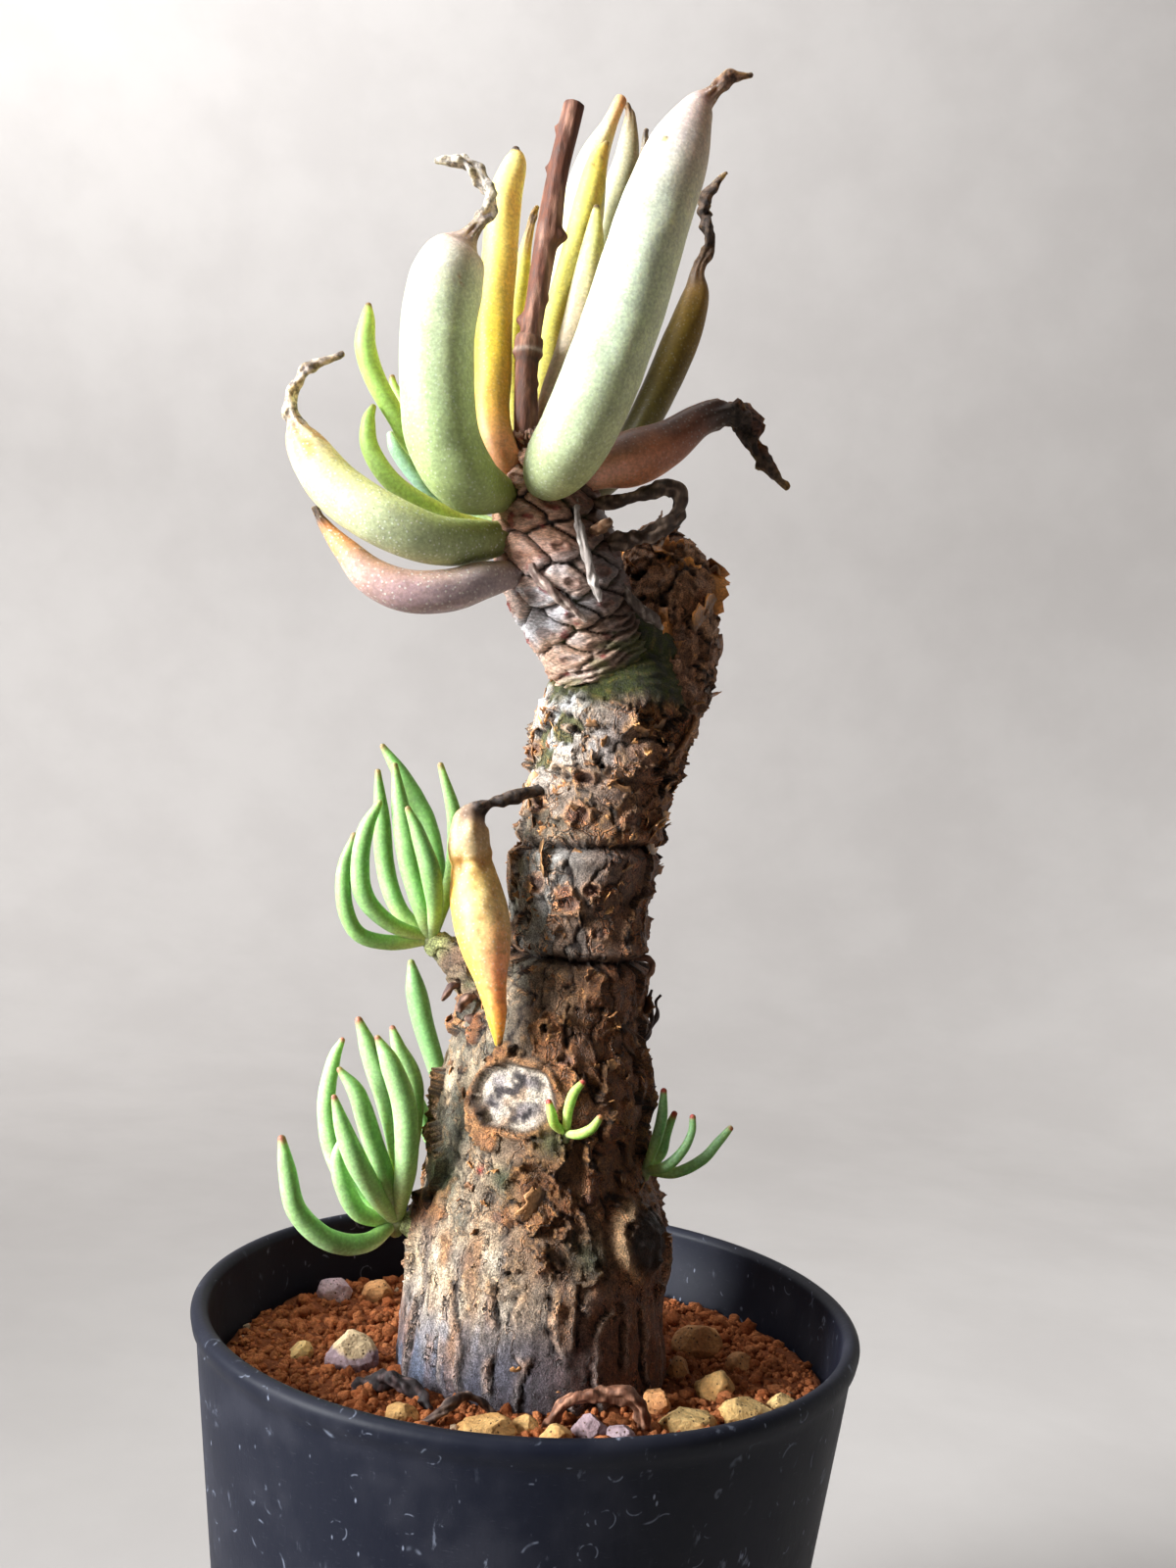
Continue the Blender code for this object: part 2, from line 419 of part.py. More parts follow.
def column_relief(angle, travelled, point):
    """Shape the column's bark: waists, plates, fissures at its foot, the scar and the burl."""
    height = point.z
    offset = 0.0
    above_soil = min(1.0, max(0.0, (height - SOIL_LEVEL - PLATES_START) / PLATES_FADE))
    offset += plate_relief(point, PLATE_SIZE, PLATE_DEPTH) * above_soil
    for waist, depth in WAISTS:
        offset -= depth * math.exp(-((height - waist) / WAIST_WIDTH) ** 2)
    if height < FISSURE_TOP:
        wander = sum(reach * math.sin(height * up + angle * turns) for reach, up, turns in FISSURE_WANDER)
        crack = abs(math.sin(FISSURE_COUNT * angle / 2 + wander))
        fade = min(1.0, (FISSURE_TOP - height) / FISSURE_FADE)
        offset -= FISSURE_DEPTH * max(0.0, 1.0 - crack / FISSURE_WIDTH) * fade
    across = turned_from(angle, SCAR_TURN) * SCAR_COLUMN_RADIUS
    reach = math.hypot(across / SCAR_HALF_WIDTH, (height - SCAR_LEVEL) / SCAR_HALF_HEIGHT)
    if reach < SCAR_PAD:
        offset = -SCAR_DEPTH
    elif reach < SCAR_LIP:
        offset = SCAR_LIP_HEIGHT * math.sin((reach - SCAR_PAD) / (SCAR_LIP - SCAR_PAD) * math.pi)
    away = math.hypot(turned_from(angle, BURL_TURN) * BURL_COLUMN_RADIUS, height - BURL_LEVEL)
    offset += BURL_RISE * math.exp(-(away / BURL_RADIUS) ** 4)
    return offset


def scale_relief(angle, travelled, point):
    """Raise the stub's old leaf bases: diamond bosses in crossing spirals."""
    climb = travelled / SCALE_PITCH * math.pi
    one = math.cos(0.5 * SCALE_ROWS * angle + climb)
    other = math.cos(0.5 * SCALE_ROWS * angle - climb)
    return SCALE_HEIGHT * (abs(one * other) ** 0.5 - 0.5)


def knob_relief(angle, travelled, point):
    """Roughen the knob with overlapping papery scales."""
    return plate_relief(point, KNOB_PLATE_SIZE, KNOB_PLATE_DEPTH)


def make_trunk(group, grow=0.0):
    """Build the column and its arms and join them into one grown body."""
    trunk = loft("trunk", COLUMN, COLUMN_SIDES, ROUTE_STEPS, "bark", group, column_relief, grow)
    arms = [loft("arm", stations, sides, ROUTE_STEPS, "bark", group, relief, grow)
            for stations, sides, relief in ((STUB, 22, scale_relief), (KNOB, 16, knob_relief),
                                            (BRANCH, 10, None), (SPUR, 8, None))]
    apply_boolean(trunk, "UNION", arms)
    return trunk


def pot_profile():
    """Run up the inside from the floor's centre, over the rim and down the outside to the centre."""
    inner_foot = FOOT_RADIUS - WALL
    bead_middle = RIM_RADIUS - RIM_BEAD
    slope = (SHOULDER_RADIUS - FOOT_RADIUS) / (SHOULDER_HEIGHT - FLOOR)
    ledge = FOOT_RADIUS + slope * (LEDGE_HEIGHT - FLOOR) - WALL
    inside = [(0, FLOOR), (inner_foot - INNER_CORNER, FLOOR), (inner_foot, FLOOR + INNER_CORNER),
              (ledge - LEDGE_STEP, LEDGE_HEIGHT - 0.5), (ledge, LEDGE_HEIGHT + 0.5),
              (RIM_RADIUS - 2 * RIM_BEAD, POT_HEIGHT - 3 * RIM_BEAD)]
    rim = [(bead_middle - RIM_BEAD * math.cos(turn), POT_HEIGHT - RIM_BEAD + RIM_BEAD * math.sin(turn))
           for turn in (0.3, 1.0, math.pi / 2, 2.1, 2.8)]
    outside = [(RIM_RADIUS, POT_HEIGHT - 2.2 * RIM_BEAD), (bead_middle, SHOULDER_HEIGHT + RIM_SKIRT),
               (SHOULDER_RADIUS, SHOULDER_HEIGHT), (FOOT_RADIUS, FLOOR),
               (FOOT_RADIUS - HEEL_WIDTH / 2, HEEL_HEIGHT), (FOOT_RADIUS - HEEL_WIDTH, 0), (0, 0)]
    return inside + rim + outside


def make_pot(group):
    """Turn the pot from its profile and bore its drain holes."""
    mesh = bpy.data.meshes.new("pot")
    points = [(radius * MM, 0, height * MM) for radius, height in pot_profile()]
    mesh.from_pydata(points, [(index, index + 1) for index in range(len(points) - 1)], [])
    pot = add_object("pot", mesh, "pot", group)
    screw = pot.modifiers.new("turn", "SCREW")
    screw.steps = POT_STEPS
    screw.render_steps = POT_STEPS
    screw.use_merge_vertices = True
    screw.merge_threshold = 0.00001
    drills = []
    for index in range(DRAIN_COUNT):
        turn = math.tau * (index + 0.5) / DRAIN_COUNT
        place = (DRAIN_CIRCLE * MM * math.cos(turn), DRAIN_CIRCLE * MM * math.sin(turn), FLOOR * MM / 2)
        bpy.ops.mesh.primitive_cylinder_add(vertices=DRAIN_SIDES, radius=DRAIN_RADIUS * MM,
                                            depth=3 * FLOOR * MM, location=place)
        drills.append(bpy.context.object)
    apply_boolean(pot, "DIFFERENCE", drills)
    return pot


def soil_height(x, y):
    """Give the soil's rough surface at a place in millimetres."""
    lumps = noise.noise(Vector((x, y, 0)) * SOIL_LUMPS_PER_MM)
    return SOIL_LEVEL - SOIL_SLOPE * y + SOIL_ROUGHNESS * lumps


def make_soil(group):
    """Fill the pot: a plug that follows the inner wall, with a rough top."""
    slope = (SHOULDER_RADIUS - FOOT_RADIUS) / (SHOULDER_HEIGHT - FLOOR)
    inner_foot = FOOT_RADIUS - WALL - GAP
    edge = FOOT_RADIUS + slope * (SOIL_LEVEL - FLOOR) - WALL - GAP - SOIL_EDGE_GAP
    below_ledge = FOOT_RADIUS + slope * (LEDGE_HEIGHT - FLOOR) - WALL - LEDGE_STEP - GAP
    shape = bmesh.new()
    profile = [(inner_foot - INNER_CORNER - GAP, FLOOR + GAP), (inner_foot, FLOOR + INNER_CORNER + GAP),
               (below_ledge, LEDGE_HEIGHT - 1.2)]
    rings = []
    for radius, height in profile:
        rings.append([shape.verts.new((radius * MM * math.cos(math.tau * corner / SOIL_SIDES),
                                       radius * MM * math.sin(math.tau * corner / SOIL_SIDES), height * MM))
                      for corner in range(SOIL_SIDES)])
    for ring_index in range(SOIL_RINGS):
        radius = edge * (1 - ring_index / (SOIL_RINGS + 1))
        ring = []
        for corner in range(SOIL_SIDES):
            x = radius * math.cos(math.tau * corner / SOIL_SIDES)
            y = radius * math.sin(math.tau * corner / SOIL_SIDES)
            ring.append(shape.verts.new((x * MM, y * MM, soil_height(x, y) * MM)))
        rings.append(ring)
    for ring, after in zip(rings, rings[1:]):
        for corner in range(SOIL_SIDES):
            around = (corner + 1) % SOIL_SIDES
            shape.faces.new((ring[corner], ring[around], after[around], after[corner]))
    shape.faces.new(rings[0])
    shape.faces.new(rings[-1])
    bmesh.ops.triangulate(shape, faces=shape.faces)
    return add_bmesh("soil", shape, "soil", group)


def make_stone(name, values, group, grow=0.0):
    """Shape one pebble: a ball, stretched, flattened by a few soft facets and turned."""
    kind, x, y, length, width, height, turn, level = values
    shape = bmesh.new()
    bmesh.ops.create_icosphere(shape, subdivisions=2, radius=1.0)
    seed = Vector((x, y, level))
    for vert in shape.verts:
        vert.co *= 1.0 + STONE_LUMP * noise.noise(vert.co * STONE_LUMPS_ACROSS + seed)
        size = Vector((length, width, height)) / 2 + Vector((grow, grow, grow))
        local = Vector((vert.co.x * size.x, vert.co.y * size.y, vert.co.z * size.z))
        cos, sin = math.cos(turn), math.sin(turn)
        vert.co = Vector((x + local.x * cos - local.y * sin, y + local.x * sin + local.y * cos,
                          level + local.z)) * MM
    return add_bmesh(name, shape, kind, group)


def make_tuft(name, bud, steps, leaves, group):
    """Grow a tuft: each leaf runs from the bud through its own stations, all joined in one body."""
    x, y, z, radius = bud
    end = radius * BUD_TAPER
    core = [(x, y, z - radius, end), (x, y, z, radius), (x, y, z + radius, end)]
    tuft = loft(name, core, BLADE_SIDES, 1, "shoot", group)
    blades = [loft("blade", [(x, y, z, end), *stations], BLADE_SIDES, steps, "shoot", group)
              for stations in leaves]
    apply_boolean(tuft, "UNION", blades)
    return tuft


def build():
    """Make every part of the plant and its pot."""
    for thing in list(bpy.data.objects):
        bpy.data.objects.remove(thing)
    group = bpy.data.collections.new("potted_tylecodon")
    bpy.context.scene.collection.children.link(group)
    workshop = bpy.data.collections.new("cutters")
    bpy.context.scene.collection.children.link(workshop)

    make_pot(group)
    make_trunk(group)

    pockets = [loft("hole", COLUMN, COLUMN_SIDES, ROUTE_STEPS, "bark", workshop, None, GAP)]
    for name, stations in {"bark_curl": BARK_CURL, "dead_leaf": DEAD_LEAF, "straw": STRAW}.items():
        loft(name, stations, STRIP_SIDES, ROUTE_STEPS, "dry", group)
        pockets.append(loft("pocket", stations, STRIP_SIDES, ROUTE_STEPS, "dry", workshop, None, GAP))
    for name, values in STONES.items():
        make_stone(name, values, group)
        pockets.append(make_stone("pocket", values, workshop, GAP))
    soil = make_soil(group)
    apply_boolean(soil, "DIFFERENCE", pockets)

    seated = [loft(name, stations, sides, steps, kind, group)
              for name, (kind, sides, steps, stations) in LEAVES.items()]
    seated.append(loft("flower_stalk", FLOWER_STALK, STALK_SIDES, ROUTE_STEPS, "stalk", group))
    seated.append(loft("hanging_leaf", HANGING_LEAF, STALK_SIDES, ROUTE_STEPS, "amber", group))
    seated.append(loft("dried_loop", DRIED_LOOP, STRIP_SIDES, ROUTE_STEPS, "dry", group))
    for name, (bud, steps, leaves) in TUFTS.items():
        seated.append(make_tuft(name, bud, steps, leaves, group))
    for piece in seated:
        apply_boolean(piece, "DIFFERENCE", [make_trunk(workshop, GAP)])

    bpy.data.collections.remove(workshop)


build()
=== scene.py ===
"""Potted tylecodon, dressed: an old leaning trunk with a leafy crown, in a round black plastic pot.

Lengths are in millimetres until a mesh is made. Every route repeats the stations of the CAD source.
"""

import itertools
import json
import math

import bmesh
import bpy
import numpy as np
from mathutils import Matrix, Vector, noise

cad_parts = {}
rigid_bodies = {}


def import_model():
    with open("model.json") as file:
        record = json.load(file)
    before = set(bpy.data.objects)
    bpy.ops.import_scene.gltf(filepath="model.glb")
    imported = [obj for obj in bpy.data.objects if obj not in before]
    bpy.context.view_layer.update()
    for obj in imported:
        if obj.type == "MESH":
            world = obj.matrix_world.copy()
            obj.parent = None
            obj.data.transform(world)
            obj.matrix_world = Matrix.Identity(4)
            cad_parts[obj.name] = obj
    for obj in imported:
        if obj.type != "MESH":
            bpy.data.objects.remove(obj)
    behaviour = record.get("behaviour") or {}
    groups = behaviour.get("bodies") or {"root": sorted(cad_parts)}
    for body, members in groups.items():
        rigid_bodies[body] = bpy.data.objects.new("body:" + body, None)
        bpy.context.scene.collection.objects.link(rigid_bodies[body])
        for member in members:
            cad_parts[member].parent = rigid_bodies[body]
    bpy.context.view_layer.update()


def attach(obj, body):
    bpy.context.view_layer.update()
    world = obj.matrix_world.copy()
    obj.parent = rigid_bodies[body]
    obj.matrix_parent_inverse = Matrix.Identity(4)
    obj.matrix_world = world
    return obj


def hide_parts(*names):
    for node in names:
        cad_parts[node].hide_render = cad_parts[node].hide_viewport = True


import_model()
MM = 0.001

# The view: a close, level camera just above the pot's rim, rolled a little, as the photograph
# was taken. It looks along +Y.
LENS = 34.155
CAMERA_PLACE = Vector((0.003, -0.2045, 0.1509))
CAMERA_ROLL = math.radians(4.17)

optics = bpy.data.cameras.new("camera")
optics.sensor_width = 36.0
optics.lens = LENS
optics.clip_start = 0.01
camera = bpy.data.objects.new("camera", optics)
bpy.context.scene.collection.objects.link(camera)
to_the_right = Vector((math.cos(CAMERA_ROLL), 0, math.sin(CAMERA_ROLL)))
upward = Vector((-math.sin(CAMERA_ROLL), 0, math.cos(CAMERA_ROLL)))
turned = Matrix((to_the_right, upward, Vector((0, -1, 0)))).transposed().to_4x4()
camera.matrix_world = Matrix.Translation(CAMERA_PLACE) @ turned
bpy.context.scene.camera = camera
bpy.context.scene.view_settings.view_transform = "Standard"


# The studio: a round sweep of pale plaster, closed all round so that every side of the plant has
# the same plain ground, a tall soft window on the left, and a pale open sky for fill.
class Value:
    """One output of a material's nodes, which takes part in sums written in Python."""

    def __init__(self, finish, socket):
        self.finish = finish
        self.socket = socket

    def work(self, operation, first, second):
        return self.finish.node("ShaderNodeMath", {"operation": operation}, {0: first, 1: second})

    def __add__(self, other):
        return self.work("ADD", self, other)

    def __sub__(self, other):
        return self.work("SUBTRACT", self, other)

    def __rsub__(self, other):
        return self.work("SUBTRACT", other, self)

    def __mul__(self, other):
        return self.work("MULTIPLY", self, other)

    __radd__ = __add__
    __rmul__ = __mul__


class Finish:
    """One procedural material, built round its Principled shader, with places in metres."""

    def __init__(self, name, constants):
        self.material = bpy.data.materials.new(name)
        self.material.use_nodes = True
        self.tree = self.material.node_tree
        self.shader = self.tree.nodes["Principled BSDF"]
        for socket, value in constants.items():
            self.shader.inputs[socket].default_value = value
        self.place = self.node("ShaderNodeTexCoord", {}, {}, "Object")

    def node(self, kind, settings, sockets, output=0):
        """Add a node: its settings come first, then its sockets' values or links."""
        made = self.tree.nodes.new(kind)
        for setting, value in settings.items():
            setattr(made, setting, value)
        for socket, value in sockets.items():
            if isinstance(value, Value):
                self.tree.links.new(value.socket, made.inputs[socket])
            elif isinstance(value, tuple) and made.inputs[socket].type == "RGBA":
                made.inputs[socket].default_value = (*value, 1.0)
            else:
                made.inputs[socket].default_value = value
        return Value(self, made.outputs[output])

    def grain(self, size, detail=2.0, place=None):
        """Give noise from 0 to 1 whose lumps are about this many millimetres across."""
        return self.node("ShaderNodeTexNoise", {}, {"Vector": place or self.place, "Scale": 1 / (size * MM),
                                                    "Detail": detail, "Roughness": 0.6})

    def dots(self, pitch, place=None):
        """Give the distance from the nearest of many scattered points, in pitches."""
        return self.node("ShaderNodeTexVoronoi", {}, {"Vector": place or self.place,
                                                      "Scale": 1 / (pitch * MM)}, "Distance")

    def stretched(self, x, y, z, place=None):
        """Give the places multiplied along each axis, for grain that runs one way."""
        return self.node("ShaderNodeVectorMath", {"operation": "MULTIPLY"},
                         {0: place or self.place, 1: (x, y, z)})

    def between(self, value, low, high, first=0.0, last=1.0):
        """Turn a value that goes from low to high into one that goes from first to last."""
        return self.node("ShaderNodeMapRange", {"interpolation_type": "SMOOTHSTEP"},
                         {"Value": value, "From Min": low, "From Max": high, "To Min": first, "To Max": last})

    def stripe(self, value, rise, fall):
        """Give 1 where a value lies past its rise and short of its fall, each from low to high."""
        return self.between(value, *rise) * self.between(value, *fall, 1.0, 0.0)

    def mix(self, amount, first, second, blend="MIX"):
        """Mix two colours."""
        return self.node("ShaderNodeMix", {"data_type": "RGBA", "blend_type": blend},
                         {0: amount, 6: first, 7: second}, 2)

    def scaled(self, colour, amount):
        """Lighten or darken a colour by a value."""
        return self.node("ShaderNodeVectorMath", {"operation": "SCALE"}, {0: colour, "Scale": amount})

    def painted(self, layer, output="Color"):
        """Read what the mesh carries at each point."""
        return self.node("ShaderNodeAttribute", {"attribute_name": layer}, {}, output)

    def grained(self, grain, low, high, dark, light):
        """Give the mesh's own colour, darker and lighter with a grain."""
        return self.scaled(self.painted("tint"), self.between(grain, low, high, dark, light))

    def feed(self, socket, value):
        """Lead a value to one of the shader's sockets."""
        self.tree.links.new(value.socket, self.shader.inputs[socket])

    def emboss(self, height, depth):
        """Press a height into the surface, its full range worth this many millimetres."""
        self.feed("Normal", self.node("ShaderNodeBump", {}, {"Height": height, "Distance": depth * MM}))


def ring_faces(rows, sides):
    """Give the quads between rings of points that lie row after row."""
    first = (np.arange(rows - 1)[:, None] * sides + np.arange(sides)).ravel()
    around = (np.arange(rows - 1)[:, None] * sides + (np.arange(sides) + 1) % sides).ravel()
    return np.stack([first, around, around + sides, first + sides], -1)


def turn_profile(profile, steps):
    """Turn (radius, height) points about the upright into points and quads."""
    turns = np.arange(steps) * math.tau / steps
    radius, height = np.array(profile, float).T
    points = np.stack([radius[:, None] * np.cos(turns), radius[:, None] * np.sin(turns),
                       np.repeat(height[:, None], steps, 1)], -1)
    return points.reshape(-1, 3), ring_faces(len(profile), steps)


def make_mesh(name, points, quads, triangles=(), layers=None):
    """Make a smooth mesh in metres from points in millimetres, with colour or number layers."""
    quads = np.asarray(quads, np.int32).reshape(-1, 4)
    triangles = np.asarray(triangles, np.int32).reshape(-1, 3)
    mesh = bpy.data.meshes.new(name)
    mesh.vertices.add(len(points))
    mesh.vertices.foreach_set("co", (np.asarray(points) * MM).astype(np.float32).ravel())
    mesh.loops.add(quads.size + triangles.size)
    mesh.loops.foreach_set("vertex_index", np.concatenate([quads.ravel(), triangles.ravel()]))
    mesh.polygons.add(len(quads) + len(triangles))
    starts = [np.arange(len(quads)) * 4, quads.size + np.arange(len(triangles)) * 3]
    mesh.polygons.foreach_set("loop_start", np.concatenate(starts).astype(np.int32))
    mesh.update(calc_edges=True)
    for layer, values in (layers or {}).items():
        values = np.asarray(values, np.float32)
        if values.ndim == 2:
            values = np.concatenate([np.clip(values, 0, 1), np.ones((len(values), 1))], 1)
            mesh.attributes.new(layer, "FLOAT_COLOR", "POINT").data.foreach_set(
                "color", values.astype(np.float32).ravel())
        else:
            mesh.attributes.new(layer, "FLOAT", "POINT").data.foreach_set("value", values)
    mesh.shade_smooth()
    return mesh


def show(name, mesh, finish):
    """Put a mesh in the scene with its finish."""
    made = bpy.data.objects.new(name, mesh)
    mesh.materials.append(finish.material)
    bpy.context.scene.collection.objects.link(made)
    return made


plaster = Finish("pale_plaster", {"Roughness": 0.9, "Specular IOR Level": 0.2})
mottle = plaster.grain(60, 4.0)
plaster.feed("Base Color", plaster.mix(plaster.between(mottle, 0.3, 0.7), (0.425, 0.405, 0.39),
                                       (0.455, 0.436, 0.42)))

FLOOR_RADIUS = 480
SWEEP_RADIUS = 330
WALL_TOP = 1350
sweep = [(0.01, -0.3), (60, -0.3), (FLOOR_RADIUS, -0.3)]
sweep += [(FLOOR_RADIUS + SWEEP_RADIUS * math.sin(lift), SWEEP_RADIUS * (1 - math.cos(lift)) - 0.3)
          for lift in np.linspace(0.1, math.pi / 2, 14)]
sweep.append((FLOOR_RADIUS + SWEEP_RADIUS, WALL_TOP))
ground = show("pale_sweep", make_mesh("pale_sweep", *turn_profile(sweep, 96)), plaster)


def add_window(name, place, aim, width, height, power, colour, spread):
    """Hang a soft rectangular light, unseen itself, that faces a point."""
    glow = bpy.data.lights.new(name, "AREA")
    glow.shape = "RECTANGLE"
    glow.size = width
    glow.size_y = height
    glow.energy = power
    glow.color = colour
    glow.spread = math.radians(spread)
    window = bpy.data.objects.new(name, glow)
    window.location = place
    window.rotation_euler = (Vector(aim) - Vector(place)).to_track_quat("-Z", "Y").to_euler()
    window.visible_camera = False
    bpy.context.scene.collection.objects.link(window)


add_window("window", place=(-0.625, -0.285, 0.34), aim=(0, 0, 0.14), width=0.30, height=0.55, power=2.55,
           colour=(0.96, 0.98, 1.0), spread=46)
add_window("wall_wash", place=(-0.40, 0.12, 1.10), aim=(-0.22, 0.80, 0.52), width=0.8, height=0.4,
           power=9.5, colour=(0.98, 0.985, 1.0), spread=140)
add_window("wall_glow", place=(-0.62, 0.22, 0.85), aim=(-0.46, 0.78, 0.40), width=0.4, height=0.4,
           power=3.0, colour=(0.98, 0.985, 1.0), spread=110)
sky = bpy.data.worlds.new("pale_sky")
sky.use_nodes = True
sky.node_tree.nodes["Background"].inputs["Color"].default_value = (1.0, 0.96, 0.90, 1.0)
sky.node_tree.nodes["Background"].inputs["Strength"].default_value = 0.06
bpy.context.scene.world = sky


# The pot: one thin shell of matt black plastic, moulded with a rolled rim, a step inside for the
# soil line and six drain holes in its floor. Handling and hard water have left pale marks on it.
POT_HEIGHT = 80.0
RIM_RADIUS = 45.0
RIM_BEAD = 1.15
FOOT_RADIUS = 34.3
SHOULDER_HEIGHT = 70.0
SHOULDER_RADIUS = 43.3
WALL = 1.9
FLOOR = 2.0
LEDGE_HEIGHT = 67.0
LEDGE_STEP = 0.7
WALL_SLOPE = (SHOULDER_RADIUS - FOOT_RADIUS) / (SHOULDER_HEIGHT - FLOOR)
DRAIN_COUNT = 6
DRAIN_RADIUS = 3.5
DRAIN_CIRCLE = 21.0


def keep(piece, slot, *nodes):
    """Say what a piece rides on and which CAD solids it stands for. Its slot is not used."""
    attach(piece, "root")
    if nodes:
        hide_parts(*nodes)
    return piece


def along_line(start, end, count):
    """Give evenly spread points from start up to, but not at, the end."""
    return [tuple(np.array(start) + (np.array(end) - np.array(start)) * step / count)
            for step in range(count)]


inner_foot = FOOT_RADIUS - WALL
ledge = FOOT_RADIUS + WALL_SLOPE * (LEDGE_HEIGHT - FLOOR) - WALL
inner_rim = RIM_RADIUS - 2 * RIM_BEAD
pot_line = [(0.01, FLOOR), (8, FLOOR), (inner_foot - 1.5, FLOOR), (inner_foot - 0.4, FLOOR + 0.4),
            *along_line((inner_foot, FLOOR + 1.5), (ledge - LEDGE_STEP, LEDGE_HEIGHT - 0.6), 6),
            (ledge - LEDGE_STEP, LEDGE_HEIGHT - 0.6), (ledge - LEDGE_STEP + 0.15, LEDGE_HEIGHT - 0.1),
            (ledge - 0.1, LEDGE_HEIGHT + 0.1), (ledge, LEDGE_HEIGHT + 0.5),
            *along_line((ledge + 0.1, LEDGE_HEIGHT + 1.5), (inner_rim, POT_HEIGHT - 3 * RIM_BEAD), 4)]
pot_line += [(RIM_RADIUS - RIM_BEAD - RIM_BEAD * math.cos(turn),
              POT_HEIGHT - RIM_BEAD + RIM_BEAD * math.sin(turn))
             for turn in np.linspace(-0.2, math.pi + 0.25, 14)]
pot_line += [(RIM_RADIUS - 0.25, POT_HEIGHT - 2.1 * RIM_BEAD),
             (RIM_RADIUS - 0.75, POT_HEIGHT - 2.6 * RIM_BEAD),
             *along_line((RIM_RADIUS - 0.95, SHOULDER_HEIGHT + 6), (SHOULDER_RADIUS, SHOULDER_HEIGHT), 3),
             *along_line((SHOULDER_RADIUS, SHOULDER_HEIGHT), (FOOT_RADIUS, FLOOR), 7),
             (FOOT_RADIUS, FLOOR), (FOOT_RADIUS - 0.25, 1.0), (FOOT_RADIUS - 0.8, 0.4),
             (FOOT_RADIUS - 1.5, 0), (8, 0), (0.01, 0)]
points, quads = turn_profile(pot_line, 168)

black_plastic = Finish("black_plastic", {"Specular IOR Level": 0.18})
scuffs = black_plastic.between(black_plastic.grain(1.1, 3.0, black_plastic.stretched(1, 1, 5)), 0.62, 0.78)
tall_grain = black_plastic.grain(1.6, 4.0, black_plastic.stretched(1, 1, 0.35))
streaks = black_plastic.between(tall_grain, 0.63, 0.72)
clouds = black_plastic.between(black_plastic.grain(14, 3.0), 0.42, 0.68)
tall_dots = black_plastic.dots(1.9, black_plastic.stretched(1, 1, 0.42))
speckled = black_plastic.between(black_plastic.grain(5.0), 0.46, 0.56)
specks = black_plastic.between(tall_dots, 0.04, 0.10, 1.0, 0.0) * speckled
drops = black_plastic.dots(9.0)
rings = black_plastic.stripe(drops, (0.20, 0.225), (0.225, 0.25))
small_drops = black_plastic.dots(4.6)
small_rings = black_plastic.stripe(small_drops, (0.22, 0.245), (0.25, 0.28))
chalk = (rings * black_plastic.between(black_plastic.grain(3.0), 0.50, 0.60) * 0.42 + streaks * clouds * 0.7
         + small_rings * black_plastic.between(black_plastic.grain(1.8), 0.54, 0.62) * 0.36 + specks * 0.7)
shade = black_plastic.mix(clouds * 0.6, (0.005, 0.0065, 0.014), (0.024, 0.025, 0.035))
shade = black_plastic.mix(scuffs * 0.12, shade, (0.12, 0.13, 0.16))
black_plastic.feed("Base Color", black_plastic.mix(chalk, shade, (0.25, 0.28, 0.36)))
black_plastic.feed("Roughness", 0.52 + clouds * 0.14 + chalk * 0.25)
black_plastic.emboss(black_plastic.grain(0.8, 3.0, black_plastic.stretched(1, 1, 0.5)) + scuffs * 0.4, 0.03)
pot = show("pot_shell", make_mesh("pot_shell", points, quads), black_plastic)
drills = bpy.data.collections.new("drills")
for index in range(DRAIN_COUNT):
    turn = math.tau * (index + 0.5) / DRAIN_COUNT
    drill = bmesh.new()
    place = Matrix.Translation((DRAIN_CIRCLE * MM * math.cos(turn), DRAIN_CIRCLE * MM * math.sin(turn), MM))
    bmesh.ops.create_cone(drill, cap_ends=True, segments=28, radius1=DRAIN_RADIUS * MM,
                          radius2=DRAIN_RADIUS * MM, depth=4 * FLOOR * MM, matrix=place)
    bored = bpy.data.meshes.new("drill")
    drill.to_mesh(bored)
    drill.free()
    drills.objects.link(bpy.data.objects.new("drill", bored))
bore = pot.modifiers.new("bore", "BOOLEAN")
bore.operand_type = "COLLECTION"
bore.collection = drills
bore.solver = "EXACT"
bored = bpy.data.meshes.new_from_object(pot.evaluated_get(bpy.context.evaluated_depsgraph_get()))
pot.modifiers.clear()
pot.data = bored
for drill in list(drills.objects):
    bpy.data.objects.remove(drill)
bpy.data.collections.remove(drills)
keep(pot, "pot", "pot")


# The soil: baked red-brown clay granules of one to three millimetres, heaped to just below the
# rim. They lie thick over a filled body, which follows the pot's inner wall down to its floor.
SOIL_LEVEL = 70.8
SOIL_SLOPE = 0.045
SOIL_ROUGHNESS = 0.7
SOIL_EDGE = FOOT_RADIUS + WALL_SLOPE * (SOIL_LEVEL - FLOOR) - WALL - 0.7
SOIL_SIDES = 150
SOIL_TOP_RINGS = 60
CRUMB_COUNT = 640
GRIT_COUNT = 5200
TRUNK_MIDDLE = 1.0
TRUNK_REACH = 18.2

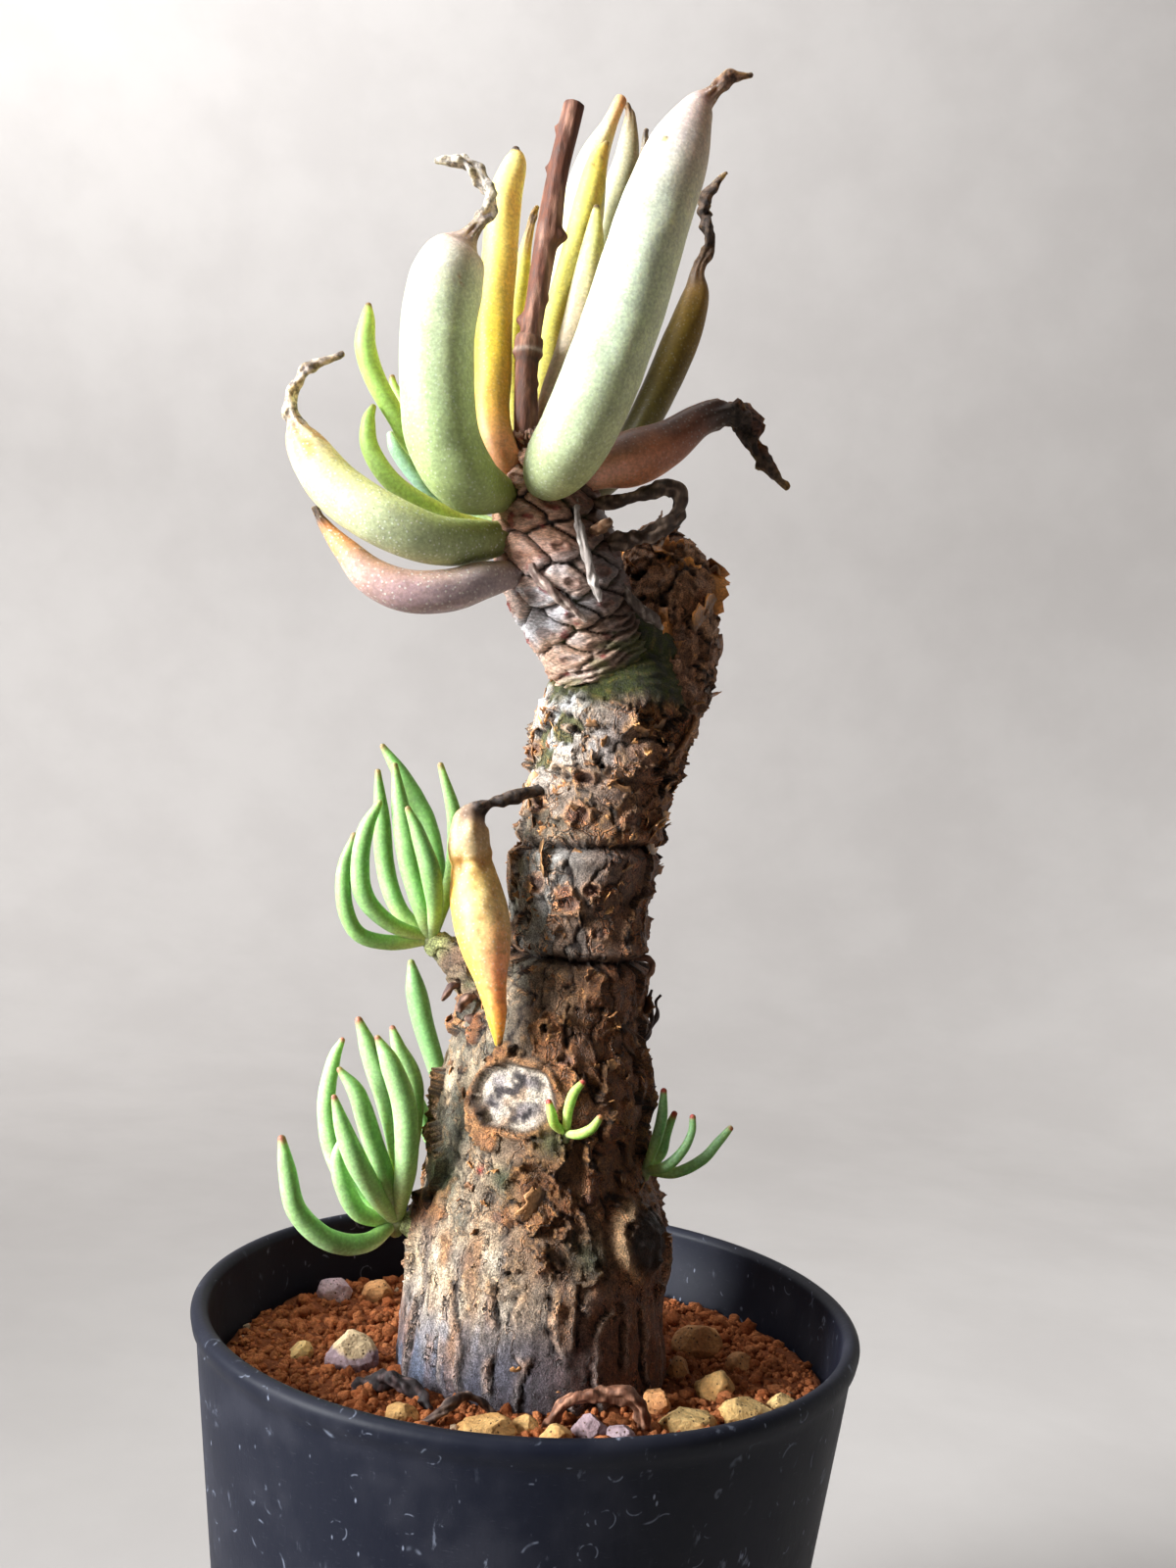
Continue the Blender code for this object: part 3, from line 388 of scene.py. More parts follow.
# Pebbles: (slot, x, y), size in x, y and z, a turn about the upright, and how high the middle lies
STONES = {
    "stone_tan_front": ("tan_stone", -3.8, -26.5, 7.6, 5.4, 4.6, 0.1, 72.4),
    "stone_tan_small": ("tan_stone", 5, -27.2, 4.4, 3.8, 3.2, 0.5, 72.7),
    "stone_purple": ("purple_stone", 8.9, -24.2, 4.2, 3.2, 3.8, -0.4, 73),
    "stone_ridged": ("purple_stone", 12.6, -25.2, 3.4, 3.6, 3.4, 0.8, 72.6),
    "stone_yellow_long": ("yellow_stone", 21, -19, 7.4, 4.6, 4, 0.3, 72.1),
    "stone_yellow_wide": ("yellow_stone", 28.6, -14.6, 7.8, 4.8, 4, 0.45, 72),
    "stone_yellow_edge": ("yellow_stone", 34.2, -10.2, 4, 3.4, 2.6, 0.6, 71.8),
    "stone_tan_right": ("tan_stone", 25.6, -6.6, 5.2, 4.6, 5, 0.2, 71.7),
    "stone_brown_far": ("brown_stone", 29.8, 3.8, 4.2, 3.6, 3, 0.9, 71.4),
    "stone_brown_right": ("brown_stone", 24.4, 9.4, 7.2, 5.2, 5.4, 0.4, 71.6),
    "stone_brown_near": ("brown_stone", 21, -1.2, 3.4, 3.6, 4, 0, 71.6),
    "stone_round": ("brown_stone", 17.6, -14.4, 3.6, 3.4, 3.6, 0, 72.8),
    "stone_yellow_left": ("yellow_stone", -30, -3.6, 3.8, 3, 3.2, 0.7, 71.2),
    "stone_cut": ("purple_stone", -22.8, -6.2, 6.4, 5, 6.4, 0.2, 72.2),
    "stone_pink_back": ("purple_stone", -30, 22.6, 5, 4.2, 4.6, 0.3, 70.8),
    "stone_brown_back": ("brown_stone", -23.4, 23.4, 4.8, 4, 4, -0.2, 70.6),
    "stone_tan_left": ("tan_stone", -14.2, -23.2, 4, 3.6, 3.4, 0.4, 72.2),
    "stone_chip": ("tan_stone", 1.1, -24.4, 3.2, 2.6, 2.6, -0.3, 72.6),
}


def draw(cells, salt):
    """Give every whole-number cell its own fixed random number from 0 to 1."""
    mixed = cells[..., 0] * 73856093 + cells[..., 1] * 19349663 + cells[..., 2] * 83492791 + salt * 1013904223
    mixed = (mixed ^ (mixed >> 15)) * 2246822519
    mixed = (mixed ^ (mixed >> 13)) * 3266489917
    return ((mixed ^ (mixed >> 16)) & 0xFFFFFF) / 0x1000000


def lumps(points, salt=0):
    """Give smooth noise from -1 to 1, with a lump about every unit."""
    base = np.floor(points).astype(np.int64)
    part = points - base
    part = part * part * (3 - 2 * part)
    total = 0.0
    for corner in itertools.product((0, 1), repeat=3):
        share = np.prod(np.where(np.array(corner) == 1, part, 1 - part), -1)
        total = total + share * draw(base + np.array(corner), salt)
    return total * 2 - 1


def ball(subdivisions):
    """Give the points and triangles of a round ball of radius one."""
    shape = bmesh.new()
    bmesh.ops.create_icosphere(shape, subdivisions=subdivisions, radius=1.0)
    shape.verts.ensure_lookup_table()
    points = np.array([vert.co[:] for vert in shape.verts])
    triangles = np.array([[vert.index for vert in face.verts] for face in shape.faces])
    shape.free()
    return points, triangles


def soil_height(x, y):
    """Give the soil's surface under a place."""
    rough = np.array([noise.noise(Vector((px, py, 0)) * 0.17) for px, py in zip(np.ravel(x), np.ravel(y))])
    return SOIL_LEVEL - SOIL_SLOPE * y + SOIL_ROUGHNESS * rough.reshape(np.shape(y))


def free_of_things(x, y, margin):
    """Tell which places on the soil lie clear of the trunk and the pebbles."""
    clear = np.hypot(x - TRUNK_MIDDLE, y) > TRUNK_REACH + margin
    for _, stone_x, stone_y, length, width, *_ in STONES.values():
        clear &= np.hypot(x - stone_x, y - stone_y) > (length + width) / 4 * 0.9 + margin
    return clear


def joined(parts):
    """Join several (points, quads, triangles, layers) into one."""
    points, quads, triangles, count = [], [], [], 0
    for some_points, some_quads, some_triangles, _ in parts:
        points.append(some_points)
        quads.append(some_quads + count)
        triangles.append(some_triangles + count)
        count += len(some_points)
    layers = {layer: np.concatenate([part[3][layer] for part in parts]) for layer in parts[0][3]}
    return np.concatenate(points), np.concatenate(quads), np.concatenate(triangles), layers


def scatter_crumbs(count, subdivisions, smallest, largest, salt):
    """Heap rough crumbs over the soil: points, no quads, triangles and a colour each."""
    dice = np.random.default_rng(salt)
    reach = np.sqrt(dice.random(count * 2)) * (SOIL_EDGE - smallest)
    turn = dice.random(count * 2) * math.tau
    x, y = reach * np.cos(turn), reach * np.sin(turn)
    size = smallest + (largest - smallest) * dice.random(count * 2) ** 2
    good = free_of_things(x, y, size * 0.5) & (reach + size < SOIL_EDGE + 0.2)
    x, y, size = x[good][:count], y[good][:count], size[good][:count]
    form, triangles = ball(subdivisions)
    shape = form[None] * (0.75 + 0.5 * dice.random((len(x), 1, 3))) * size[:, None, None]
    centre = np.stack([x, y, soil_height(x, y) + size * (0.1 + 0.5 * dice.random(len(x)))], -1)
    shape = shape + centre[:, None]
    rough = 1 + 0.55 * lumps(shape.reshape(-1, 3) / (0.7 * size.repeat(len(form)))[:, None], salt)
    shape = centre[:, None] + (shape - centre[:, None]) * rough.reshape(len(x), -1, 1)
    warm = dice.random(len(x))[:, None]
    light = 0.75 + 0.45 * dice.random(len(x))[:, None]
    colour = (np.array((0.290, 0.082, 0.026)) * (1 - warm) + np.array((0.460, 0.165, 0.062)) * warm) * light
    pale = dice.random(len(x)) < 0.008
    colour[pale] = (0.42, 0.30, 0.20)
    faces = (triangles[None] + np.arange(len(x))[:, None, None] * len(form)).reshape(-1, 3)
    return shape.reshape(-1, 3), np.zeros((0, 4), int), faces, {"tint": colour.repeat(len(form), 0)}


clay = Finish("red_clay_granules", {"Specular IOR Level": 0.15})
clay_grain = clay.grain(0.35, 3.0)
clay.feed("Base Color", clay.grained(clay_grain, 0.3, 0.7, 0.7, 1.3))
clay.feed("Roughness", clay.between(clay_grain, 0.3, 0.7, 0.98, 0.85))
clay.emboss(clay_grain + clay.grain(0.14, 2.0) * 0.5, 0.34)

rings = [(FOOT_RADIUS - WALL - 2.0, FLOOR + 0.3), (FOOT_RADIUS - WALL - 0.3, FLOOR + 2),
         (FOOT_RADIUS + WALL_SLOPE * (LEDGE_HEIGHT - FLOOR) - WALL - LEDGE_STEP - 0.3, LEDGE_HEIGHT - 1.2)]
wall_rings = len(rings)
rings += [(SOIL_EDGE * (1 - step / SOIL_TOP_RINGS), None) for step in range(SOIL_TOP_RINGS)]
turns = np.arange(SOIL_SIDES) * math.tau / SOIL_SIDES
points = []
for radius, height in rings:
    x, y = radius * np.cos(turns), radius * np.sin(turns)
    z = soil_height(x, y) if height is None else np.full(SOIL_SIDES, height)
    points.append(np.stack([x, y, z], -1))
points = np.concatenate(points)
on_top = np.arange(len(points)) >= wall_rings * SOIL_SIDES
points[on_top, 2] += 0.1 + 0.5 * lumps(points[on_top] / 1.5, 3) + 0.25 * lumps(points[on_top] / 0.7, 4)
tint = np.array((0.24, 0.072, 0.026)) * (0.8 + 0.3 * lumps(points / 1.3, 5))[:, None]
layers_of_soil = [(points, ring_faces(len(rings), SOIL_SIDES), np.zeros((0, 3), int), {"tint": tint})]
layers_of_soil.append(scatter_crumbs(count=CRUMB_COUNT, subdivisions=2, smallest=0.45, largest=1.2, salt=11))
layers_of_soil.append(scatter_crumbs(count=GRIT_COUNT, subdivisions=1, smallest=0.25, largest=0.68, salt=12))
keep(show("clay_soil", make_mesh("clay_soil", *joined(layers_of_soil)), clay), "soil", "soil")


# The pebbles: weathered stones of a few millimetres, tan, yellow, purple-grey and brown, half
# sunk in the clay. Each has broad worn facets, pits, and a colour that drifts over it.
STONE_COLOURS = {
    "tan_stone": ((0.46, 0.23, 0.07), (0.70, 0.42, 0.16)),
    "purple_stone": ((0.23, 0.155, 0.165), (0.44, 0.33, 0.36)),
    "yellow_stone": ((0.52, 0.30, 0.09), (0.76, 0.52, 0.22)),
    "brown_stone": ((0.38, 0.15, 0.055), (0.62, 0.31, 0.12)),
}
FACET_COUNT = 14
rock = Finish("worn_stone", {"Specular IOR Level": 0.3})
rock_grain = rock.grain(0.5, 4.0)
rock_pits = rock.between(rock.dots(0.8), 0.10, 0.22)
stone_shade = rock.grained(rock_grain, 0.3, 0.72, 0.72, 1.18)
rock.feed("Base Color", rock.mix(rock_pits, (0.10, 0.06, 0.03), stone_shade))
rock.feed("Roughness", rock.between(rock_grain, 0.3, 0.7, 0.62, 0.85))
rock.emboss(rock_grain + rock_pits * 0.5 + rock.grain(0.15) * 0.3, 0.26)

form, triangles = ball(5)
for number, (name, (slot, x, y, length, width, height, turn, level)) in enumerate(STONES.items()):
    dice = np.random.default_rng(200 + number)
    seed = np.array((x, y, level))
    shape = form.copy()
    for way in dice.normal(size=(FACET_COUNT, 3)):
        way = way / np.linalg.norm(way)
        over = np.maximum(shape @ way - (0.68 + 0.2 * dice.random()), 0)
        shape = shape - over[:, None] * way * 0.95
    shape *= 1.10 + 0.10 * lumps(form * 1.6 + seed)[:, None] + 0.035 * lumps(form * 5 + seed)[:, None]
    local = shape * np.array((length, width, height)) / 2
    cos, sin = math.cos(turn), math.sin(turn)
    points = np.stack([x + local[:, 0] * cos - local[:, 1] * sin, y + local[:, 0] * sin + local[:, 1] * cos,
                       level + local[:, 2]], -1)
    dark, pale = np.array(STONE_COLOURS[slot])
    drift = 0.5 + 0.5 * lumps(points / 1.8, number)[:, None]
    tint = dark + (pale - dark) * np.clip(drift + 0.25 * form[:, 2:3], 0, 1)
    # painted light: the pink pebble at the back is brightened to stand in for light that the pot's rim keeps
    # off it
    if name == "stone_pink_back":
        tint = np.clip(tint * 1.9, 0, 0.85)
    if name == "stone_cut":
        crust = np.clip((form[:, 2:3] + 0.2 * lumps(points / 1.2)[:, None] - 0.35) / 0.12, 0, 1)
        tint = tint * (1 - crust) + np.array((0.66, 0.50, 0.30)) * crust
    keep(show(name + "_worn", make_mesh(name, points, [], triangles, {"tint": tint}), rock), slot, name)


# The trunk's column: an old swollen stem, from its fissured silvery foot through flaking bark to
# two waists and a scaly top. It carries a healed wound, a dark burl and many oval leaf scars.
COLUMN = [(1, 0, 50, 14.5), (1, 0, 58, 17.6), (1, 0, 69, 18.4), (0.5, 0, 76.5, 18.2),
          (0.5, 0, 83, 17.6), (0.5, 0, 90, 17.2), (0, 0, 96.5, 15.2), (-0.5, 0, 103.5, 14), (0, 0, 110, 14),
          (0.5, 0, 117, 12.6), (2.5, 0, 124, 10.2), (3, 0, 130.5, 9.1), (2.5, 0, 137.5, 9.5),
          (4, 0, 144, 9.4), (4.8, 0, 151, 9.3), (5.2, 0, 158, 9.6), (7, 0, 165, 9.4), (8.5, 0, 170, 6.6)]
WOUND_TURN = 0.27
WOUND_LEVEL = 110.0
WOUND_HALF = (5.9, 4.6)
WOUND_GIRTH = 14
BURL_TURN = -0.98
BURL_LEVEL = 91.8
BURL_RADIUS = 4.2
BURL_GIRTH = 17


def ease(low, high, value):
    """Rise smoothly from 0 to 1 as a value goes from low to high."""
    part = np.clip((value - low) / (high - low), 0, 1)
    return part * part * (3 - 2 * part)


def tinted(colour, other, amount):
    """Lay one colour over others by an amount for each point."""
    return np.asarray(colour) + (np.asarray(other) - colour) * np.asarray(amount)[..., None]


def layered(colour, *coats):
    """Lay coats of (colour, amount) over a colour, one after another."""
    for coat, amount in coats:
        colour = tinted(colour, coat, amount)
    return colour


def plates(points, salt):
    """Split space into cells: the depth from a cell's edge, two random numbers and a lean for each."""
    base = np.floor(points).astype(np.int64)
    near = np.full(points.shape[:-1], 9.0)
    second = near.copy()
    owner = np.zeros(points.shape, np.int64)
    for step in itertools.product((-1, 0, 1), repeat=3):
        cell = base + np.array(step)
        centre = cell + 0.1 + 0.8 * np.stack([draw(cell, salt + axis) for axis in range(3)], -1)
        away = np.sqrt(((points - centre) ** 2).sum(-1))
        closer = away < near
        second = np.where(closer, near, np.minimum(second, away))
        near = np.where(closer, away, near)
        owner = np.where(closer[..., None], cell, owner)
    lean = ((points - owner - 0.5) * (np.stack([draw(owner, salt + 7 + axis) for axis in range(3)], -1)
                                      - 0.5)).sum(-1)
    return second - near, draw(owner, salt + 3), draw(owner, salt + 4), lean * 2


class Sleeve:
    """Rings of points round a smooth route through (x, y, z, radius) stations, with round ends."""

    def __init__(self, stations, sides, steps, end=0.7):
        stations = np.array(stations, float)
        padded = np.concatenate([[stations[0] * 2 - stations[1]], stations,
                                 [stations[-1] * 2 - stations[-2]]])
        rows, levels = [], []
        for index in range(len(stations) - 1):
            before, start, after, beyond = padded[index:index + 4]
            for step in range(steps):
                t = step / steps
                rows.append(0.5 * (2 * start + (after - before) * t
                                   + (2 * before - 5 * start + 4 * after - beyond) * t ** 2
                                   + (3 * start - before - 3 * after + beyond) * t ** 3))
                levels.append(index + t)
        rows.append(stations[-1])
        levels.append(len(stations) - 1)
        rows = np.array(rows)
        centre, radius = rows[:, :3], np.maximum(rows[:, 3], 0.12)
        along = np.gradient(centre, axis=0)
        along /= np.linalg.norm(along, axis=1)[:, None]
        closing = np.radians([72, 54, 36, 18])
        centre = np.concatenate([centre[:1] - along[:1] * (radius[0] * end * np.sin(closing))[:, None],
                                 centre,
                                 centre[-1:] + along[-1:] * (radius[-1] * end * np.sin(closing[::-1]))[:,
                                                                                                       None]])
        radius = np.concatenate([radius[0] * np.cos(closing), radius, radius[-1] * np.cos(closing[::-1])])
        levels = np.concatenate([[0] * 4, levels, [len(stations) - 1] * 4])
        along = np.concatenate([[along[0]] * 4, along, [along[-1]] * 4])
        self.poles = (centre[0] - along[0] * radius[0] * 0.15, centre[-1] + along[-1] * radius[-1] * 0.15)
        front = np.zeros_like(centre)
        start = int(np.argmin(np.abs(along[:, 1])))
        for order in (range(start, len(centre)), range(start, -1, -1)):
            facing = np.array((0.0, -1.0, 0.0))
            for row in order:
                facing = facing - along[row] * (along[row] @ facing)
                facing /= np.linalg.norm(facing)
                front[row] = facing
        side = np.cross(front, along)
        self.rows, self.sides = len(centre), sides
        turn = np.arange(sides) * math.tau / sides
        self.turn = np.broadcast_to(turn, (self.rows, sides))
        self.outward = front[:, None] * np.cos(turn)[:, None] + side[:, None] * np.sin(turn)[:, None]
        self.centre = centre[:, None]
        self.radius = np.broadcast_to(radius[:, None], (self.rows, sides))
        self.level = np.broadcast_to(levels[:, None], (self.rows, sides))
        gone = np.concatenate([[0], np.cumsum(np.linalg.norm(np.diff(centre, axis=0), axis=1))])
        self.travelled = np.broadcast_to(gone[:, None], (self.rows, sides))
        self.along = along[:, None]
        self.skin = self.centre + self.outward * self.radius[..., None]

    def past(self, turn):
        """Give how far round each point lies from a turn, from -pi to pi."""
        return (self.turn - turn + math.pi) % math.tau - math.pi

    def pushed(self, offset):
        """Give the points with the skin raised or sunk by an offset, and the faces that join them."""
        points = (self.skin + self.outward * offset[..., None]).reshape(-1, 3)
        points = np.concatenate([points, self.poles])
        quads = ring_faces(self.rows, self.sides)[:, [0, 3, 2, 1]]
        ring = np.arange(self.sides)
        after = (ring + 1) % self.sides
        top = (self.rows - 1) * self.sides
        low_pole, high_pole = len(points) - 2, len(points) - 1
        triangles = np.concatenate([np.stack([ring, after, np.full_like(ring, low_pole)], -1),
                                    np.stack([top + after, top + ring, np.full_like(ring, high_pole)], -1)])
        return points, quads, triangles

    def spread(self, values):
        """Flatten a layer of values and give the two poles those of their rings."""
        flat = values.reshape(self.rows * self.sides, -1)
        both = np.concatenate([flat, flat[:1], flat[-1:]])
        return both[:, 0] if values.ndim == 2 else both


def bark_piece(name, sleeve, offset, tint, finish, foot=0.0, cracked=0.0):
    """Make one piece of the trunk from its sleeve, its relief and its colour."""
    layers = {"tint": sleeve.spread(tint), "foot": sleeve.spread(np.broadcast_to(foot, sleeve.turn.shape)),
              "cracked": sleeve.spread(np.broadcast_to(cracked, sleeve.turn.shape))}
    return keep(show(name, make_mesh(name, *sleeve.pushed(offset), layers), finish), "bark", "trunk")


bark = Finish("old_bark", {"Specular IOR Level": 0.4})
bark_fine = bark.grain(0.22, 3.0)
bark_coarse = bark.grain(1.1, 4.0)
on_foot = bark.painted("foot", "Fac")
patchy = bark.between(bark.grain(4.0), 0.40, 0.60) * bark.painted("cracked", "Fac")
swirl = bark.node("ShaderNodeTexNoise", {}, {"Vector": bark.place, "Scale": 1 / (1.6 * MM)}, "Color")
torn_place = bark.node("ShaderNodeVectorMath", {"operation": "MULTIPLY_ADD"},
                       {0: swirl, 1: (0.0026, 0.0026, 0.0026), 2: bark.place})
splits = bark.node("ShaderNodeTexVoronoi", {"feature": "DISTANCE_TO_EDGE"},
                   {"Vector": torn_place, "Scale": 1 / (3.1 * MM)}, "Distance")
split = bark.between(splits, 0.008, 0.040, 1.0, 0.0) * patchy
pale_edge = bark.stripe(splits, (0.03, 0.06), (0.06, 0.14)) * patchy
streaks = bark.grain(0.42, 4.0, bark.stretched(1, 1, 0.22, torn_place))
granules = bark.between(bark.grain(0.15, 2.0), 0.56, 0.68) * on_foot
rift = bark.grain(2.8, 2.5, bark.stretched(1, 1, 0.26, torn_place))
broken = bark.between(bark.grain(3.2), 0.45, 0.55) * on_foot
rifts = bark.stripe(rift, (0.484, 0.497), (0.503, 0.516)) * broken
rift_lip = bark.stripe(rift, (0.512, 0.526), (0.530, 0.555)) * broken
bark_tone = bark.between(bark_fine, 0.34, 0.66, 0.52, 1.50) * bark.between(bark_coarse, 0.3, 0.7, 0.68, 1.32)
bark_tone = bark_tone * (1 - on_foot + bark.between(streaks, 0.34, 0.66, 0.70, 1.32) * on_foot)
bark_shade = bark.scaled(bark.painted("tint"), bark_tone)
bark_shade = bark.mix(pale_edge * 0.8, bark_shade, (2.3, 1.5, 0.95), "MULTIPLY")
bark_shade = bark.mix(granules * 0.6, bark_shade, (2.1, 2.1, 2.2), "MULTIPLY")
bark_shade = bark.mix(rift_lip * 0.7, bark_shade, (2.1, 1.8, 1.5), "MULTIPLY")
bark_shade = bark.mix(split * 0.8 + rifts * 0.85, bark_shade, (0.020, 0.011, 0.008))
bark.feed("Base Color", bark_shade)
bark.feed("Roughness", bark.between(bark_coarse, 0.3, 0.7, 0.38, 0.74))
bark.emboss(bark_fine * 0.7 + bark_coarse * 0.8 + bark.grain(0.11) * 0.3 + pale_edge * 0.8 - split * 1.2
            + streaks * on_foot * 0.8 + granules * 0.6 - rifts * 1.6 + rift_lip * 0.8, 0.42)


def flaked(points, size, salt, share, skin=0.5, lip=0.5, crack=0.6, ragged=0.9):
    """Break a skin of bark into plates: relief, and how much each place is skin, lip or crack."""
    warped = points + ragged * np.stack([lumps(points / 1.7, salt + axis) for axis in (20, 21, 22)], -1)
    edge, chance, thick, lean = plates(warped / np.array(size), salt)
    depth = edge * min(size)
    kept = (chance < share).astype(float)
    curl = kept * (1 - ease(0.0, 0.75, depth)) * ease(-0.15, 0.35, lean + 0.12)
    gap = 1 - ease(0.05, 0.34, depth)
    relief = kept * (skin * (0.5 + 0.8 * thick) + 0.45 * lean) + lip * curl - crack * gap
    return relief, kept, curl * (1 - gap * 0.6), gap, thick


def ovals(sleeve, count, salt, low, high, sizes):
    """Stamp oval leaf scars: relief of a raised rim round a sunken pad, and where rim and pad lie."""
    dice = np.random.default_rng(salt)
    relief = np.zeros(sleeve.turn.shape)
    rim, pad = relief.copy(), relief.copy()
    height = sleeve.skin[..., 2]
    for _ in range(count):
        turn, level = dice.random() * math.tau, low + (high - low) * dice.random()
        wide = sizes[0] + (sizes[1] - sizes[0]) * dice.random()
        tall = wide * (0.6 + 0.3 * dice.random())
        slip = sleeve.past(turn)
        reach = np.hypot(slip * sleeve.radius / wide,
                         (height - level + slip * 2 * (dice.random() - 0.5)) / tall)
        ring = np.exp(-((reach - 1.0) / 0.22) ** 2)
        inside = 1 - ease(0.75, 0.95, reach)
        relief += 0.45 * ring - 0.15 * inside + 0.35 * np.exp(-(reach / 0.35) ** 2)
        rim, pad = np.maximum(rim, ring), np.maximum(pad, inside)
    return relief, rim, pad


column = Sleeve(COLUMN, sides=300, steps=18)
height = column.skin[..., 2]
where = column.skin
# shady: how far each point faces the right, away from the window. The colour coats it drives below are
# painted shade, and more plates are kept where it is high
shady = ease(-0.05, 0.80, -np.sin(column.turn))
foot = 1 - ease(87, 95, height + 3.5 * lumps(where / 5, 1))
top = ease(142, 144, height)
bulge = ease(126.5, 128.5, height) * (1 - top)
middle = (1 - foot) * (1 - bulge) * (1 - top)
buried = 1 - ease(68.5, 72, height)


# the foot: long furrows down a fine-grained silvery bark, each near-black inside and with a pale lip on its
# higher side, both partly the bark's own colour and partly painted shadow and highlight. Each has points of
# (turn, height), the side that stands higher (1 to the left, -1 to the right) and how pale its lip is
FURROWS = [
    ([(0.36, 88.4), (0.27, 87.2), (0.24, 84.8), (0.20, 80.1), (0.23, 76.4), (0.19, 69)], 1, 0.35),
    ([(0.60, 87), (0.57, 83.6), (0.50, 80.5)], 1, 0.5), ([(0.71, 79.8), (0.69, 76.3), (0.65, 70)], -1, 0.5),
    ([(0.50, 82.1), (0.47, 77.9), (0.42, 70)], 1, 0.3),
    ([(0.05, 87), (0.13, 83.8), (0.12, 80.2), (0.05, 77)], -1, 0.6),
    ([(-0.06, 79), (0, 75), (0.03, 69)], 1, 0.2), ([(-0.14, 87), (-0.13, 83), (-0.21, 79)], -1, 0.8),
    ([(-0.80, 84.8), (-0.56, 83.6), (-0.50, 80.8), (-0.47, 77.3), (-0.51, 70)], -1, 1.0),
    ([(-0.76, 82.6), (-0.73, 79.8), (-0.69, 76)], -1, 0.7),
    ([(-0.92, 83.5), (-0.99, 79), (-0.95, 75), (-1.06, 69)], -1, 0.7),
    ([(-1.18, 83.3), (-1.28, 77.6), (-1.25, 69)], 1, 0.3),
    ([(-0.17, 94.6), (-0.12, 91.3), (-0.17, 88.5)], 1, 0.4),
    ([(0.98, 82), (1.02, 77.4), (1.06, 70)], 1, 0.4), ([(0.13, 95.5), (0.12, 92.4), (0.17, 88)], -1, 0.5),
    ([(-0.36, 88), (-0.33, 84), (-0.36, 79.5)], 1, 0.4), ([(0.32, 80), (0.33, 76), (0.30, 71)], -1, 0.4),
    ([(-0.30, 77.5), (-0.27, 74), (-0.30, 69)], -1, 0.5), ([(0.83, 88), (0.86, 85), (0.82, 81)], -1, 0.5),
]
furrow_dice = np.random.default_rng(45)
for _ in range(17):
    lie, high = 1.25 + 3.6 * furrow_dice.random(), 75 + 12 * furrow_dice.random()
    bends = lie + 0.09 * furrow_dice.normal(size=4)
    FURROWS.append(([(bend, high - drop) for bend, drop in zip(bends, (0, 3.5, 7, 12))],
                    1 if furrow_dice.random() < 0.5 else -1, 0.6 * furrow_dice.random()))
# this rises from the lit left of the trunk to its shaded right and drives painted shade in the colour coats
# below
toward_painted_shade = -np.sin(column.turn)
furrow, pale_lip_and_highlight, slope = np.zeros((3, *column.turn.shape))
wander = 0.6 * lumps(where / (2.6, 2.6, 3.4), 31) + 0.28 * lumps(where / 0.9, 32)
for points, side, paleness in FURROWS:
    turns, levels = np.array(points[::-1]).T
    apart = column.past(np.interp(height, levels, turns))
    apart = (apart * column.radius + wander) * side
    within = ease(levels[0] - 1.0, levels[0] + 1.2, height)
    within = within * (1 - ease(levels[-1] - 1.5, levels[-1] + 0.6, height))
    within = within * ease(-0.75, -0.05, lumps(where / (3.0, 3.0, 4.0), 33))
    furrow = np.maximum(furrow, np.exp(-(apart / 0.27) ** 2) * within)
    pale_lip_and_highlight = np.maximum(pale_lip_and_highlight, np.exp(-((apart - 0.62) / 0.34) ** 2) * within * paleness)
    slope += within * np.where(apart > 0, np.exp(-(apart / 2.2) ** 2), -0.7 * np.exp(-(apart / 1.6) ** 2))
upper = ease(80, 88, height + 3 * lumps(where / 4, 35))
fine, _, fine_curl, _, _ = flaked(
    where, (3.8, 3.8, 6.0), salt=50, share=0.42, skin=0.5, lip=0.8, crack=0.3, ragged=1.3)
ribs = lumps(where / (1.3, 1.3, 6.0), 38)
foot_relief = -0.42 * furrow + 0.30 * pale_lip_and_highlight + 0.24 * slope + upper * fine + 0.16 * ribs
foot_relief = foot_relief + 0.14 * lumps(where / 0.9, 48) + 0.35 * lumps(where / 5.5, 49)
# the lips' colour: partly the bark's own pale edge and partly painted highlight
lip_colour = tinted((0.66, 0.56, 0.50), (0.78, 0.46, 0.22), ease(78, 88, height))
lip_share = np.clip(pale_lip_and_highlight * 1.1 + upper * fine_curl * 0.85, 0, 1)
silver = layered(
    (0.66, 0.51, 0.35),
    ((0.125, 0.150, 0.215), 1 - ease(73, 89, height + 4 * lumps(where / 4, 35))),
    ((0.86, 0.76, 0.60), ease(0.05, 0.6, lumps(where / (1.1, 1.1, 3), 36)) * 0.6 * ease(78, 86, height)),
    ((0.34, 0.37, 0.46), ease(0.1, 0.7, lumps(where / (1.0, 1.0, 4), 46)) * 0.6 * (1 - ease(76, 86, height))),
    ((0.42, 0.19, 0.07), ease(0.05, 0.6, lumps(where / (2.2, 2.2, 7), 37))
     * (0.3 + 0.5 * ease(73, 82, height))),
    ((0.105, 0.085, 0.090), ease(0.0, 0.6, lumps(where / (1.5, 1.5, 6.0), 39)) * 0.72),
    # painted shade: the foot darkens from its middle to the right, away from the window, bluish low down and
    # rust-brown on the right, and its pale lips are dimmed there
    ((0.145, 0.090, 0.068), ease(-0.70, 0.30, toward_painted_shade) * 0.62),
    ((0.050, 0.046, 0.062), ease(-0.85, -0.20, toward_painted_shade) * (1 - ease(76, 86, height)) * 0.78),
    ((0.270, 0.100, 0.038), shady * 0.7),
    (lip_colour, lip_share * (1 - 0.45 * shady)),
    ((0.42, 0.21, 0.095), np.clip(slope - 0.45, 0, 1) * 0.55 * ease(72, 80, height)),
    # near-black down the furrows: partly the cracks' own dark and partly painted shadow
    ((0.016, 0.009, 0.008), np.clip(furrow * 1.25, 0, 1) * 0.95),
)

